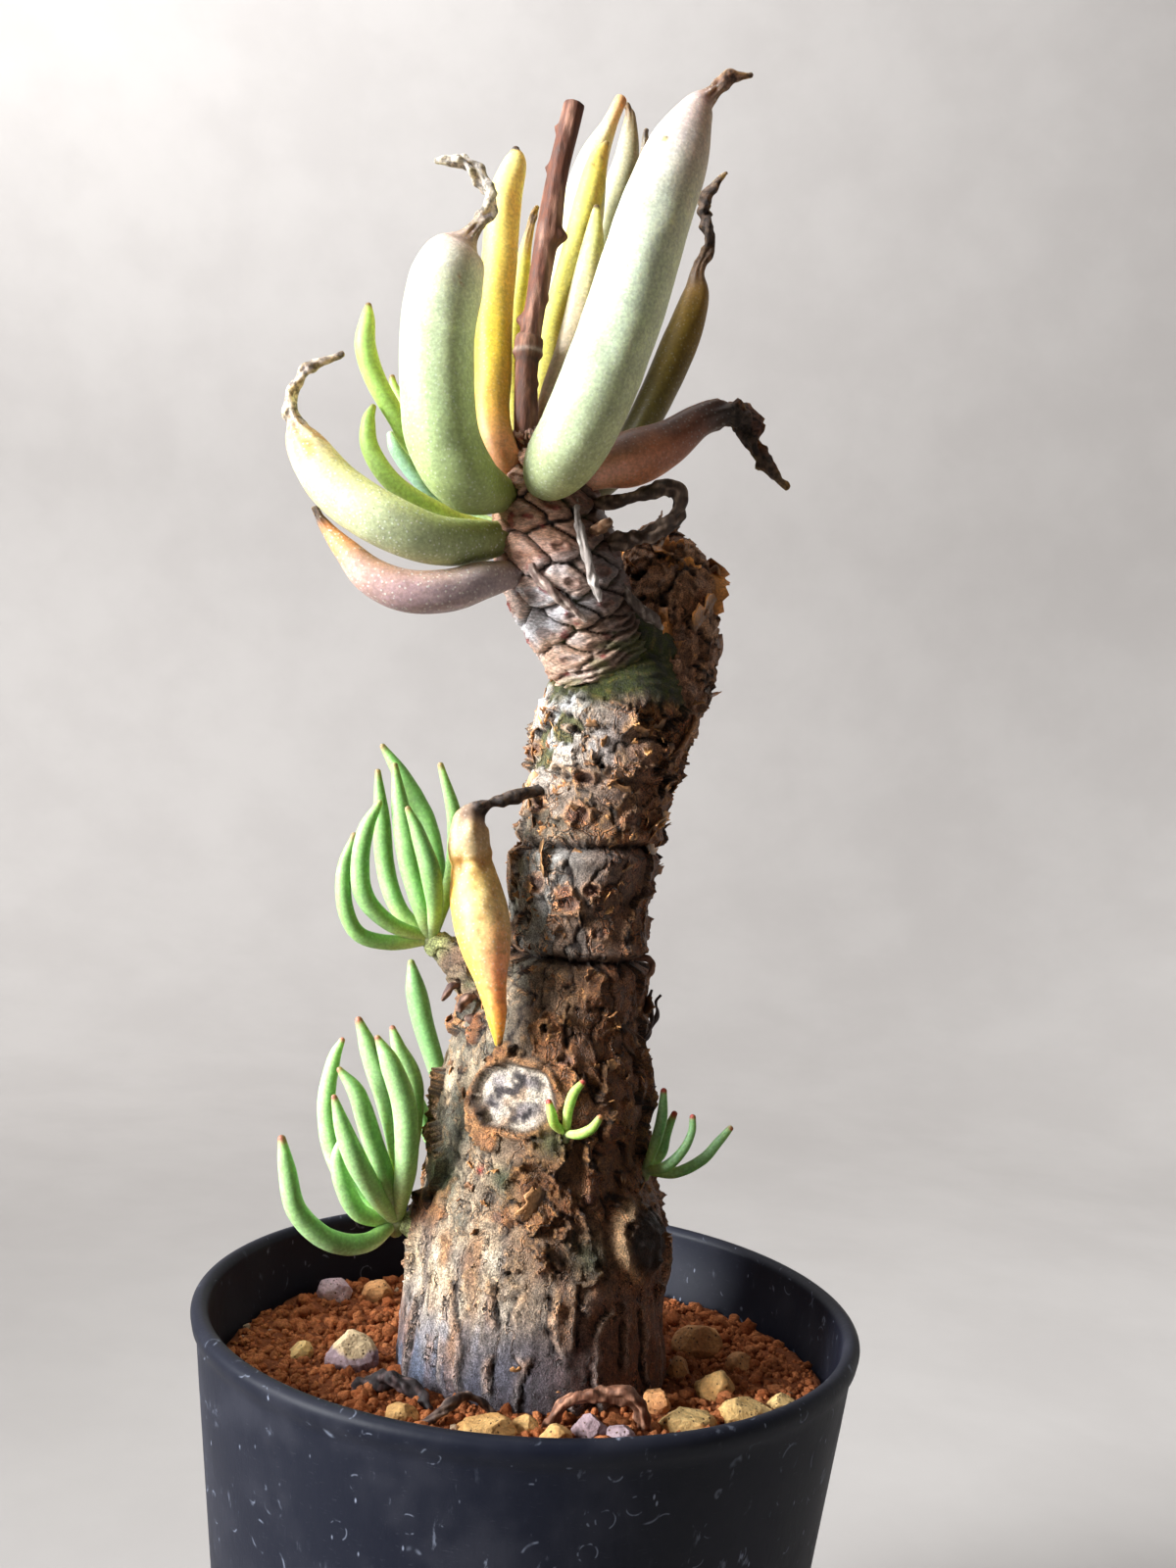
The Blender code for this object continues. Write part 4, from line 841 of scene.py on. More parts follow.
# the middle: torn tan and rusty skin over smooth grey-green under-bark
mid, mid_kept, mid_curl, mid_gap, mid_thick = flaked(
    where, (3.9, 3.9, 6.4), salt=60, share=0.42 + 0.25 * shady, skin=0.70, lip=1.0, crack=0.4, ragged=1.4)
small, _, small_curl, small_gap, _ = flaked(
    where, (2.3, 2.3, 2.8), salt=70, share=0.45, skin=0.18, lip=0.35, crack=0.10, ragged=1.0)
middle_relief = mid + small * (0.3 + 0.5 * mid_kept) + 0.20 * lumps(where / 1.4, 61)
smooth_bark = layered(
    (0.36, 0.285, 0.20),
    ((0.18, 0.165, 0.125), ease(-0.3, 0.4, lumps(where / 3, 62))),
    ((0.66, 0.52, 0.35), ease(0.2, 0.6, lumps(where / 1.6, 63)) * 0.6),
)
rusty = layered(
    (0.40, 0.195, 0.085),
    ((0.21, 0.085, 0.036), mid_thick),
    ((0.62, 0.44, 0.27), ease(0.15, 0.6, lumps(where / 2.2, 64)) * 0.6),
)
flesh = layered(
    smooth_bark,
    (rusty, mid_kept),
    # painted shade: darker, redder brown from the middle to the right, away from the window, and the bright
    # curled edges dimmed there
    ((0.215, 0.088, 0.030), ease(-0.72, 0.15, toward_painted_shade) * 0.74),
    ((0.200, 0.072, 0.024), shady * 0.7),
    ((0.95, 0.48, 0.16), np.clip(mid_curl ** 2 * 1.1 + small_curl ** 2 * 0.7, 0, 1) * (1 - 0.4 * shady)),
    ((0.022, 0.011, 0.007), np.clip(mid_gap * 0.9 + small_gap * 0.25, 0, 1)),
)

# between the waists: tighter, smoother plates, grey on the lit left and brown on the right, partly from more
# brown plates kept there and partly painted shade
tight, tight_kept, tight_curl, tight_gap, tight_thick = flaked(
    where, (5.0, 5.0, 8.0), salt=80, share=0.38 + 0.35 * shady, skin=0.5, lip=0.6, crack=0.3, ragged=1.5)
tight_relief = tight + small * 0.35
slate = layered(
    (0.36, 0.35, 0.32),
    ((0.58, 0.55, 0.51), ease(-0.2, 0.6, lumps(where / 2.4, 81))),
    ((0.42, 0.24, 0.135), tight_kept * (0.5 + 0.5 * tight_thick)),
    # painted shade: brown from the middle to the right, away from the window, and the bright curled edges
    # dimmed there
    ((0.19, 0.110, 0.068), ease(-0.60, 0.25, toward_painted_shade) * 0.72),
    ((0.185, 0.068, 0.024), shady * 0.7),
    ((0.90, 0.44, 0.15), np.clip(tight_curl ** 2 + small_curl ** 2 * 0.6, 0, 1) * (1 - 0.4 * shady)),
    ((0.020, 0.011, 0.008), np.clip(tight_gap * 0.9 + small_gap * 0.3, 0, 1)),
)

# the top: torn skins with pale curled edges, and olive skin showing through and below the crown
rough, rough_kept, rough_curl, rough_gap, rough_thick = flaked(
    where, (6.4, 6.4, 4.6), salt=90, share=0.62, skin=0.9, lip=1.0, crack=0.3, ragged=1.9)
top_relief = rough * (0.45 + 0.55 * ease(149, 153, height)) + small * 0.4 + 0.20 * lumps(where / 1.1, 91)
rings = np.sin(height * 4.6 + 3.0 * lumps(where / 2.6, 103)) * (1 - ease(150, 153, height))
scaly = layered(
    (0.46, 0.38, 0.31),
    ((0.70, 0.65, 0.58), rough_thick),
    ((0.085, 0.095, 0.026), (1 - rough_kept) * 0.92),
    ((0.14, 0.085, 0.050), ease(0.1, 0.9, -rings) * 0.45),
    ((0.27, 0.205, 0.155), (1 - ease(149, 152.5, height)) * 0.72),
    # painted highlight: pale grey-white patches near the crown, for the gloss on the torn skins
    ((0.86, 0.86, 0.86), ease(0.20, 0.5, lumps(where / 1.9, 92)) * 0.7
     * ease(147, 153, height + 1.5 * lumps(where / 2, 105))),
    # painted shade: brown from the middle to the right, away from the window, and the bright curled edges
    # dimmed there
    ((0.160, 0.072, 0.030), ease(-0.62, 0.20, toward_painted_shade) * 0.72),
    ((0.36, 0.135, 0.046), shady * 0.7),
    ((0.96, 0.50, 0.17), np.clip(rough_curl ** 2 * 1.1 + small_curl ** 2, 0, 1) * (1 - 0.4 * shady)),
    ((0.020, 0.012, 0.007), np.clip(rough_gap * 0.95 + small_gap * 0.35, 0, 1)),
)
olive = ease(160.5, 163.5, height + 1.6 * lumps(where / 3, 93)) * ease(-0.35, 0.25, np.cos(column.turn + 0.5))
folds = np.sin(height * 5.2 + 5.0 * lumps(where / 2.2, 94))
top_relief = top_relief * (1 - olive) + olive * (0.14 * folds - 0.1)
green_skin = layered(
    (0.045, 0.055, 0.004),
    ((0.26, 0.17, 0.045), ease(0.7, 1.0, folds) * 0.35),
    ((0.020, 0.020, 0.004), ease(0.0, 0.5, lumps(where / 1.1, 104)) * 0.8),
)
scaly = tinted(scaly, green_skin, olive)
crackled = (0.35 * middle + 0.8 * bulge + 0.6 * top) * (1 - olive)

offset = foot * foot_relief + middle * middle_relief + bulge * tight_relief + top * top_relief
tint = silver * foot[..., None] + flesh * middle[..., None]
tint = tint + slate * bulge[..., None] + scaly * top[..., None]

# oval leaf scars all over, then the waists, the wound and the burl
scars, scar_rim, scar_pad = ovals(column, count=52, salt=7, low=93, high=160, sizes=(0.9, 1.7))
offset += scars * (1 - olive)
tint = layered(
    tint,
    # the scar rims are painted dimmer on the shaded right: painted shade
    ((0.56, 0.29, 0.14), np.clip(scar_rim, 0, 1) * (0.7 - 0.45 * shady) * (1 - olive)),
    ((0.19, 0.095, 0.065), scar_pad * 0.8 * (1 - olive)),
)
for waist, depth_of_waist, tilt in ((142.5, 1.0, 0.02), (127.5, 1.1, -0.03), (151.5, 0.45, 0.0)):
    away = height - waist - tilt * where[..., 0] - 0.35 * lumps(where / 3.5, 95)
    groove = np.exp(-(away / 0.42) ** 2)
    offset += -depth_of_waist * np.exp(-(away / 0.9) ** 2) - 0.7 * depth_of_waist * groove
    offset += 0.35 * depth_of_waist * np.exp(-((np.abs(away) - 1.5) / 0.7) ** 2)
    tint = tinted(tint, (0.018, 0.010, 0.008), groove * min(1, depth_of_waist))

slip = column.past(WOUND_TURN)
reach = np.hypot(slip * WOUND_GIRTH / WOUND_HALF[0], (height - WOUND_LEVEL) / WOUND_HALF[1])
reach = reach + 0.16 * lumps(where / 2.4, 96)
inside = 1 - ease(0.80, 0.90, reach)
collar = np.exp(-((reach - 1.01) / 0.085) ** 2) * (1 + 0.5 * lumps(where / 1.1, 102))
offset = offset * (1 - ease(0, 1, inside + collar * 0.7)) + 0.85 * collar
offset = offset + inside * (-0.65 + 0.22 * lumps(where / 0.9, 97))
slanted = np.exp(-(((height - WOUND_LEVEL - 0.6) + 0.9 * slip * WOUND_GIRTH - 1.1) / 1.7) ** 2)
below = np.exp(-np.hypot(slip * WOUND_GIRTH + 0.3, height - WOUND_LEVEL + 2.7) ** 2 / 1.6)
band = slanted + below
mould = ease(0.0, 0.40, band - 0.38 + 0.7 * lumps(where / 0.7, 100) + 0.35 * lumps(where / 1.6, 99))
mould = mould * (1 - 0.6 * ease(0.6, 0.85, reach))
bleached = layered(
    (0.80, 0.68, 0.55),
    ((0.46, 0.32, 0.22), ease(0.0, 0.6, lumps(where / 1.2, 98))),
    ((0.26, 0.23, 0.25), ease(-0.45, 0.05, lumps(where / 1.9, 99)) * 0.8 * (1 - ease(0.5, 0.85, reach))),
    ((0.036, 0.028, 0.034), mould * 0.95),
)
tint = layered(
    tint,
    (bleached, inside),
    ((0.46, 0.22, 0.085), np.clip(collar * 0.75, 0, 1) * (1 - inside)),
    ((0.03, 0.018, 0.012), np.exp(-((reach - 0.88) / 0.05) ** 2) * 0.85),
)

slip = column.past(BURL_TURN)
away = np.hypot(slip * BURL_GIRTH, height - BURL_LEVEL)
boss = np.exp(-(away / BURL_RADIUS) ** 4)
peel = np.exp(-((away - 5.0) / 0.8) ** 2) * ease(-0.05, 0.25, slip)
offset = offset * (1 - 0.8 * boss) + boss * (2.0 + 0.7 * lumps(where / 0.8, 101)) + 0.8 * peel
tint = layered(
    tint,
    ((0.034, 0.018, 0.011), np.clip(boss * 1.4, 0, 1)),
    ((0.74, 0.46, 0.24), peel * 0.85),
)

# a dark pit, a little red bud and green tinges near the young shoots, each with its turn, height,
# radius, colour and how far it stands out
BARK_SPOTS = [
    (0.38, 97.0, 0.95, (0.03, 0.022, 0.022), -0.9), (0.50, 100.2, 0.45, (0.34, 0.008, 0.012), 0.3),
    (0.28, 99.6, 1.7, (0.09, 0.11, 0.055), 0.0), (-0.42, 91.0, 2.8, (0.075, 0.085, 0.045), 0.0),
    (-0.15, 105, 2.0, (0.12, 0.14, 0.06), 0.0), (1.0, 98.5, 2.6, (0.20, 0.24, 0.13), 0.0),
]
for turn, level, radius, colour, rise in BARK_SPOTS:
    spot = np.exp(-(np.hypot(column.past(turn) * column.radius, height - level) / radius) ** 2)
    offset += rise * spot
    tint = tinted(tint, colour, spot * 0.85)
offset = offset * (1 - buried)
column_offset = offset
crackled = crackled * (1 - inside) * (1 - boss)
bark_piece("trunk_column", column, offset, tint, bark, foot * (1 - boss), crackled)


# The stub: the living end of the stem, clad in the broad diamond bases of fallen leaves. They
# run in crossing spirals above and are squeezed to fine wrinkles where the stub leans out.
STUB = [(7, -1, 160, 7), (4.5, -2.5, 166, 6.8), (1.5, -4, 171, 6.8), (-1.5, -5.5, 176.5, 7.5),
        (-4, -7, 182.5, 7.5), (-5.5, -8, 188, 6.4), (-7, -8.5, 192, 4.4), (-8, -9, 195.5, 2.6)]
BASE_ROWS = 5
BASE_PITCH = 4.8

scar_skin = Finish("old_leaf_bases", {"Specular IOR Level": 0.5})
skin_grain = scar_skin.grain(0.3, 4.0, scar_skin.stretched(0.5, 0.5, 1.3))
scar_skin.feed("Base Color", scar_skin.grained(skin_grain, 0.33, 0.67, 0.58, 1.42))
scar_skin.feed("Roughness", scar_skin.between(skin_grain, 0.3, 0.7, 0.30, 0.56))
scar_skin.emboss(skin_grain + scar_skin.grain(0.12) * 0.3, 0.16)

stub = Sleeve(STUB, sides=184, steps=22)
where = stub.skin
climb = stub.travelled
squeeze = 1 - ease(13.5, 19.5, climb + 2.5 * np.sin(stub.turn))
lifted = climb + np.cumsum(squeeze * np.gradient(climb, axis=0), axis=0) * 1.6 + 0.9 * lumps(where / 5, 110)
row = lifted / (BASE_PITCH / 2)
column_number = stub.turn / math.tau * BASE_ROWS
sway_across = lumps(where / 2.6, 127)
sway_above = lumps(where / 2.2, 128)
best = np.full(stub.turn.shape, 9.0)
next_best = best.copy()
centre_away = np.zeros((*best.shape, 2))
owner = np.zeros((*best.shape, 3), np.int64)
for step in (-1, 0, 1, 2):
    this_row = np.floor(row) + step
    stagger = 0.5 * (this_row % 2)
    this_column = np.round(column_number - stagger)
    for nudge in (-1, 0, 1):
        key = np.stack([this_row, (this_column + nudge) % BASE_ROWS, 0 * this_row], -1).astype(np.int64)
        sway = 0.18 * (draw(key, 117) - 0.5)
        across = (column_number - stagger - this_column - nudge - sway) * math.tau * stub.radius / BASE_ROWS
        above = (row - this_row) * BASE_PITCH / 2 + 0.6 * (draw(key, 118) - 0.5)
        above = above - 0.03 * across ** 2 + 0.10 * across
        across = across + 0.35 * sway_across
        above = above + 0.25 * sway_above
        away = np.abs(across) / 4.7 + np.abs(above) / 2.4 + 0.02 * (across ** 2 + above ** 2)
        closer = away < best
        next_best = np.where(closer, best, np.minimum(next_best, away))
        best = np.where(closer, away, best)
        centre_away = np.where(closer[..., None], np.stack([across, above], -1), centre_away)
        owner = np.where(closer[..., None], key, owner)
edge = next_best - best
seam = 1 - ease(0.05, 0.26, edge)
pillow = ease(0.0, 0.6, edge)
eye_reach = np.hypot(centre_away[..., 0] / 1.0, (centre_away[..., 1] + 0.1) / 0.6)
eye_rim = np.exp(-((eye_reach - 1) / 0.25) ** 2)
eye = 1 - ease(0.6, 0.9, eye_reach)
crease = np.sin(climb * 5.6 + 3.4 * lumps(where / (4.0, 4.0, 2.4), 111))
fold = np.sin(climb * 2.5 + 2.6 * lumps(where / (5.0, 5.0, 3.0), 119))
shadow = ease(-0.15, 0.8, -np.sin(stub.turn))
shingle = -0.13 * centre_away[..., 1]
veins = np.sin(climb * 9.0 + 5 * lumps(where / (3.0, 3.0, 1.6), 121))
offset = (0.72 * pillow - 0.15 + shingle) * (1 - 0.75 * squeeze) - 0.40 * seam * (1 - 0.6 * squeeze)
offset = offset + (0.26 * eye_rim - 0.28 * eye) * (1 - squeeze)
offset = offset + squeeze * (0.30 * crease + 0.22 * fold)
offset = offset + (1 - squeeze) * 0.09 * veins + 0.08 * lumps(where / 0.9, 112)
chance = draw(owner, 113)
silvery = ease(18.5, 22, climb + 2 * lumps(where / 4, 129)) * (1 - ease(28, 31, climb))
tint = layered(
    (0.74, 0.48, 0.34),
    ((0.84, 0.81, 0.84), silvery * (1 - 0.75 * ease(0.55, 0.8, chance))),
    # whitish streaks, partly the silvery skin's own colour and partly painted highlight
    ((0.84, 0.82, 0.84), ease(-0.1, 0.45, lumps(where / (2.4, 2.4, 0.9), 114)) * (0.4 + 0.5 * silvery)),
    ((0.20, 0.12, 0.10), ease(0.3, 1.0, -veins) * 0.45),
    ((0.46, 0.22, 0.13), ease(25, 31, climb) * 0.75),
    ((0.40, 0.23, 0.15), squeeze * 0.5),
    # painted shade: browner and darker towards the right, away from the window; the red spots further down
    # are kept off this painted shadow
    ((0.19, 0.125, 0.095), ease(-0.2, 0.6, -np.sin(stub.turn)) * 0.4),
    ((0.105, 0.056, 0.038), shadow * 0.86),
    # painted highlight on the ridges of the squeezed folds, dimmed in the painted shadow, and painted shade
    # in the troughs between them
    ((0.74, 0.56, 0.44), ease(0.3, 0.95, crease) * 0.5 * squeeze * (1 - shadow * 0.7)),
    ((0.075, 0.040, 0.020), ease(0.1, 0.9, -crease) * 0.85 * squeeze),
    ((0.10, 0.12, 0.020), squeeze * ease(0.0, 0.5, lumps(where / (3.4, 3.4, 1.2), 126)) * 0.7),
    ((0.30, 0.12, 0.08), eye_rim * 0.6 * (1 - squeeze)),
    ((0.24, 0.13, 0.09), eye * 0.45 * (1 - squeeze)),
    ((0.026, 0.017, 0.012), np.clip(seam * 1.15, 0, 1) * (1 - 0.6 * squeeze)),
    ((0.10, 0.12, 0.025), seam * ease(-0.1, 0.4, lumps(where / 2.5, 115)) * 0.6),
    ((0.24, 0.02, 0.02), ease(0.55, 0.64, lumps(where / 1.3, 116)) * 0.8 * (1 - shadow)),
)
neck = 1 - ease(12.2, 13.6, climb + 0.9 * lumps(where / 2.2, 122))
threads = np.sin(climb * 7.0 + 5.0 * lumps(where / (2.4, 2.4, 1.6), 123))
neck_skin = layered(
    (0.050, 0.060, 0.004),
    ((0.34, 0.21, 0.055), ease(0.75, 1.0, threads) * 0.45),
    ((0.024, 0.022, 0.006), ease(-0.1, 0.5, lumps(where / 0.9, 125)) * 0.85),
)
tint = tinted(tint, neck_skin, neck)
offset = offset * (1 - neck) + neck * (0.10 * threads + 0.15 * lumps(where / 2.0, 124) - 0.15)
bark_piece("stub_leaf_bases", stub, offset, tint, scar_skin)


# The knob: the old growing point beside the stub, dead and dark, wrapped in brittle amber
# scales, with a few pale curled scraps left on its flank.
KNOB = [(8.5, 1, 160, 7.4), (11.5, 2, 166, 6.9), (12.5, 3, 172, 6.4), (12, 4, 179, 6), (11, 5, 184, 4.7),
        (10.5, 5, 186.5, 2.8)]
knob = Sleeve(KNOB, sides=150, steps=20)
where = knob.skin
big, _, big_curl, big_gap, big_thick = flaked(
    where, (8.5, 8.5, 6.2), salt=120, share=0.9, skin=1.0, lip=0.9, crack=0.9, ragged=1.6)
small, _, small_curl, small_gap, _ = flaked(
    where, (1.7, 1.7, 1.5), salt=130, share=0.6, skin=0.25, lip=0.35, crack=0.25, ragged=0.6)
offset = big * 0.9 + small * 0.7 - 0.35
shadow = ease(-0.9, 0.7, -np.sin(knob.turn))
tint = layered(
    (0.44, 0.21, 0.115),
    ((0.68, 0.37, 0.19), big_thick),
    ((0.46, 0.37, 0.32), ease(0.30, 0.75, lumps(where / 1.6, 121)) * 0.5),
    ((0.24, 0.105, 0.05), shadow * 0.4),
    ((0.66, 0.28, 0.065), np.clip(big_curl * 0.95 + small_curl * 0.25, 0, 1) * (1 - 0.4 * shadow)),
    ((0.016, 0.009, 0.006), np.clip(big_gap * 0.9 + small_gap * 0.4, 0, 1)),
)
knob_offset = offset
bark_piece("knob_of_dead_scales", knob, offset, tint, bark)


# The side branch and the spur: two short arms of the column that end in the young shoots. Their
# bark is knotty, with stumps of dried leaves round the shoot's foot.
ARMS = {
    "side_branch": [(2, -1, 115, 5), (-3, -3, 119.5, 4.6), (-8, -4, 123, 3.4), (-12.5, -5, 126, 2.5),
                    (-16, -5, 128.5, 1.5)],
    "side_spur": [(-11, -2, 88, 4), (-14.5, -3, 89.5, 2.6), (-17.5, -4, 90.2, 1.3)],
}
for salt, (name, stations) in enumerate(ARMS.items(), 140):
    arm = Sleeve(stations, sides=72, steps=16)
    where = arm.skin
    knots, _, curl, gap, thick = flaked(
        where, (2.3, 2.3, 2.3), salt=salt, share=0.6, skin=0.45, lip=0.5, crack=0.3, ragged=0.5)
    offset = (knots + 0.3 * lumps(where / 1.2, salt)) * np.clip(arm.radius / 3, 0.35, 1)
    tint = layered(
        (0.34, 0.26, 0.17),
        ((0.20, 0.12, 0.08), thick),
        ((0.22, 0.26, 0.12), ease(0.1, 0.6, lumps(where / 2, salt + 1)) * 0.6),
        ((0.60, 0.42, 0.24), curl * 0.7),
        ((0.05, 0.03, 0.02), gap * 0.8),
        ((0.48, 0.55, 0.22), ease(len(stations) - 1.7, len(stations) - 1.1, arm.level) * 0.8),
    )
    bark_piece(name, arm, offset, tint, bark)


# The flakes: brittle scraps of the outer bark, a tenth of a millimetre thick, still held by one
# edge and curled away by drying. They stand thickest on the top, the knob and the trunk's outline.
FLAKE_ROWS = 5
FLAKE_COLUMNS = 7


def curled_flakes(name, sleeve, offset, count, salt, lengths, breadths, swing, lifts, wanted, pale, dark):
    """Root curled scraps on a sleeve's relief, more of them where they are wanted, pointing about upward."""
    dice = np.random.default_rng(salt)
    tries = dice.integers(0, sleeve.rows * sleeve.sides, count * 12)
    chosen = tries[dice.random(len(tries)) < wanted.ravel()[tries]][:count]
    count = len(chosen)
    root = (sleeve.skin + sleeve.outward * (offset - 0.15)[..., None]).reshape(-1, 3)[chosen]
    normal = sleeve.outward.reshape(-1, 3)[chosen]
    climb = np.broadcast_to(sleeve.along, sleeve.skin.shape).reshape(-1, 3)[chosen]
    across = np.cross(climb, normal)
    heading = (dice.random(count) * 2 - 1) * swing
    ahead = climb * np.cos(heading)[:, None] + across * np.sin(heading)[:, None]
    beside = np.cross(normal, ahead)
    length = lengths[0] + (lengths[1] - lengths[0]) * dice.random(count) ** 1.6
    width = length * (breadths[0] + (breadths[1] - breadths[0]) * dice.random(count))
    lift = np.radians(lifts[0] + (lifts[1] - lifts[0]) * dice.random(count))
    curl = np.radians(dice.normal(40, 35, count))
    along = np.linspace(0, 1, FLAKE_ROWS)
    slope = lift[:, None] + curl[:, None] * along
    run = np.concatenate([np.zeros((count, 1)), np.cumsum(np.cos(slope[:, :-1]), 1)], 1) / (FLAKE_ROWS - 1)
    rise = np.concatenate([np.zeros((count, 1)), np.cumsum(np.sin(slope[:, :-1]), 1)], 1) / (FLAKE_ROWS - 1)
    spread = np.linspace(-0.5, 0.5, FLAKE_COLUMNS)
    reach = 1 + 0.22 * dice.normal(size=(count, 1, FLAKE_COLUMNS)) * along[None, :, None]
    taper = (1 - 0.25 * along[None, :, None] ** 2) * (1 + 0.14 * dice.normal(size=(count, FLAKE_ROWS, 1)))
    bow = np.minimum(width / sleeve.radius.reshape(-1)[chosen] * 0.5, 0.6)[:, None, None]
    cup = 0.08 * dice.normal(size=(count, 1, 1)) * (spread ** 2 * 4)[None, None]
    cup = cup - bow * spread[None, None] ** 2
    forward = run[..., None] * reach * length[:, None, None]
    upward = rise[..., None] * reach * length[:, None, None] + cup * width[:, None, None]
    sideways = spread[None, None] * taper * width[:, None, None]
    top_face = (root[:, None, None] + ahead[:, None, None] * forward[..., None]
                + normal[:, None, None] * upward[..., None] + beside[:, None, None] * sideways[..., None])
    bend = ahead[:, None, None] * -np.sin(slope)[..., None, None]
    bend = bend + normal[:, None, None] * np.cos(slope)[..., None, None]
    low_face = top_face - bend * 0.09
    points = np.stack([top_face, low_face], 1).reshape(-1, 3)
    grid = np.arange(FLAKE_ROWS * FLAKE_COLUMNS).reshape(FLAKE_ROWS, FLAKE_COLUMNS)
    cells = np.stack([grid[:-1, :-1], grid[:-1, 1:], grid[1:, 1:], grid[1:, :-1]], -1).reshape(-1, 4)
    rim = np.concatenate([grid[0, :], grid[1:, -1], grid[-1, -2::-1], grid[-2:0:-1, 0]])
    after = np.roll(rim, -1)
    under = grid.size
    edges = np.stack([rim, rim + under, after + under, after], -1)
    one = np.concatenate([cells, cells[:, ::-1] + under, edges])
    quads = (one[None] + (np.arange(count) * 2 * under)[:, None, None]).reshape(-1, 4)
    warm = dice.random(count)
    shade = 0.55 + 0.65 * dice.random(count)
    colour = (np.array(dark) + (np.array(pale) - np.array(dark)) * warm[:, None]) * shade[:, None]
    fade = np.broadcast_to((0.30 + 1.3 * along ** 2)[None, None, :, None],
                           (count, 2, FLAKE_ROWS, FLAKE_COLUMNS))
    tint = colour[:, None, None, None] * fade[..., None]
    piece = show(name, make_mesh(name, points, quads, (), {"tint": tint.reshape(-1, 3)}), papery)
    return keep(piece, "bark", "trunk")


papery = Finish("papery_flake", {"Specular IOR Level": 0.55})
papery_grain = papery.grain(0.4, 3.0)
papery.feed("Base Color", papery.grained(papery_grain, 0.3, 0.7, 0.6, 1.35))
papery.feed("Roughness", papery.between(papery_grain, 0.3, 0.7, 0.32, 0.62))
papery.emboss(papery_grain, 0.12)

height = column.skin[..., 2]
bare = ease(0.9, 1.2, np.hypot(column.past(WOUND_TURN) * WOUND_GIRTH / 6.2, (height - WOUND_LEVEL) / 4.8))
wanted = bare * (ease(90, 98, height) * 0.35 + ease(141, 146, height) * 0.6 + 0.02)
wanted = wanted * (1 - olive) * (height > 73)
curled_flakes("bark_flakes", column, column_offset, count=410, salt=301, lengths=(0.5, 1.3),
              breadths=(0.9, 1.9), swing=math.pi, lifts=(3, 32), wanted=wanted,
              pale=(0.66, 0.32, 0.105), dark=(0.22, 0.090, 0.034))
wanted = bare * (ease(142, 146, height) + 0.30 * middle + 0.25 * bulge) * (1 - olive) * (height > 84)
curled_flakes("torn_skins", column, column_offset, count=84, salt=303, lengths=(1.0, 2.2),
              breadths=(1.5, 3.0), swing=1.3, lifts=(2, 20), wanted=wanted,
              pale=(0.62, 0.33, 0.13), dark=(0.26, 0.12, 0.05))
wanted = (knob.level > 0.5).astype(float)
curled_flakes("knob_flakes", knob, knob_offset, count=44, salt=302, lengths=(0.6, 1.4),
              breadths=(1.2, 2.2), swing=math.pi, lifts=(4, 26), wanted=wanted,
              pale=(0.50, 0.23, 0.065), dark=(0.11, 0.05, 0.022))
wanted = ((knob.level > 0.9) & (knob.level < 4.3)).astype(float)
curled_flakes("knob_scales", knob, knob_offset, count=26, salt=304, lengths=(1.8, 3.6),
              breadths=(1.7, 2.9), swing=math.pi, lifts=(0, 10), wanted=wanted,
              pale=(0.72, 0.29, 0.055), dark=(0.24, 0.085, 0.026))


# The crown's leaves: fleshy fingers with a pale waxy bloom, each rooted on its leaf base and
# hooked up towards the light. Old ones yellow from the foot, and tips dry to black, curled strips.
ASH = (0.40, 0.35, 0.29)
SOOT = (0.045, 0.030, 0.022)
# brown spots: (station number, turn to the left from the front, radius, colour)
LEAF_SPOTS = {
    "leaf_front_right": [(5.9, 0.42, 0.6, (0.46, 0.40, 0.10)), (5.92, 0.42, 0.28, (0.10, 0.06, 0.02))],
    "leaf_front_left": [(4.9, -0.50, 0.35, (0.45, 0.26, 0.12)), (4.72, -0.62, 0.4, (0.50, 0.30, 0.14)),
                        (4.75, -0.35, 0.25, (0.5, 0.3, 0.15))],
    "leaf_bright_yellow": [(5.7, 0.3, 0.35, (0.28, 0.14, 0.03)), (6.0, -0.4, 0.25, (0.28, 0.14, 0.03))],
    "leaf_speckled_left": [(4.9, 0.2, 2.3, (0.62, 0.34, 0.10)), (5.2, -1.2, 1.6, (0.58, 0.30, 0.09)),
                           (4.3, 1.6, 1.4, (0.70, 0.50, 0.20))],
}
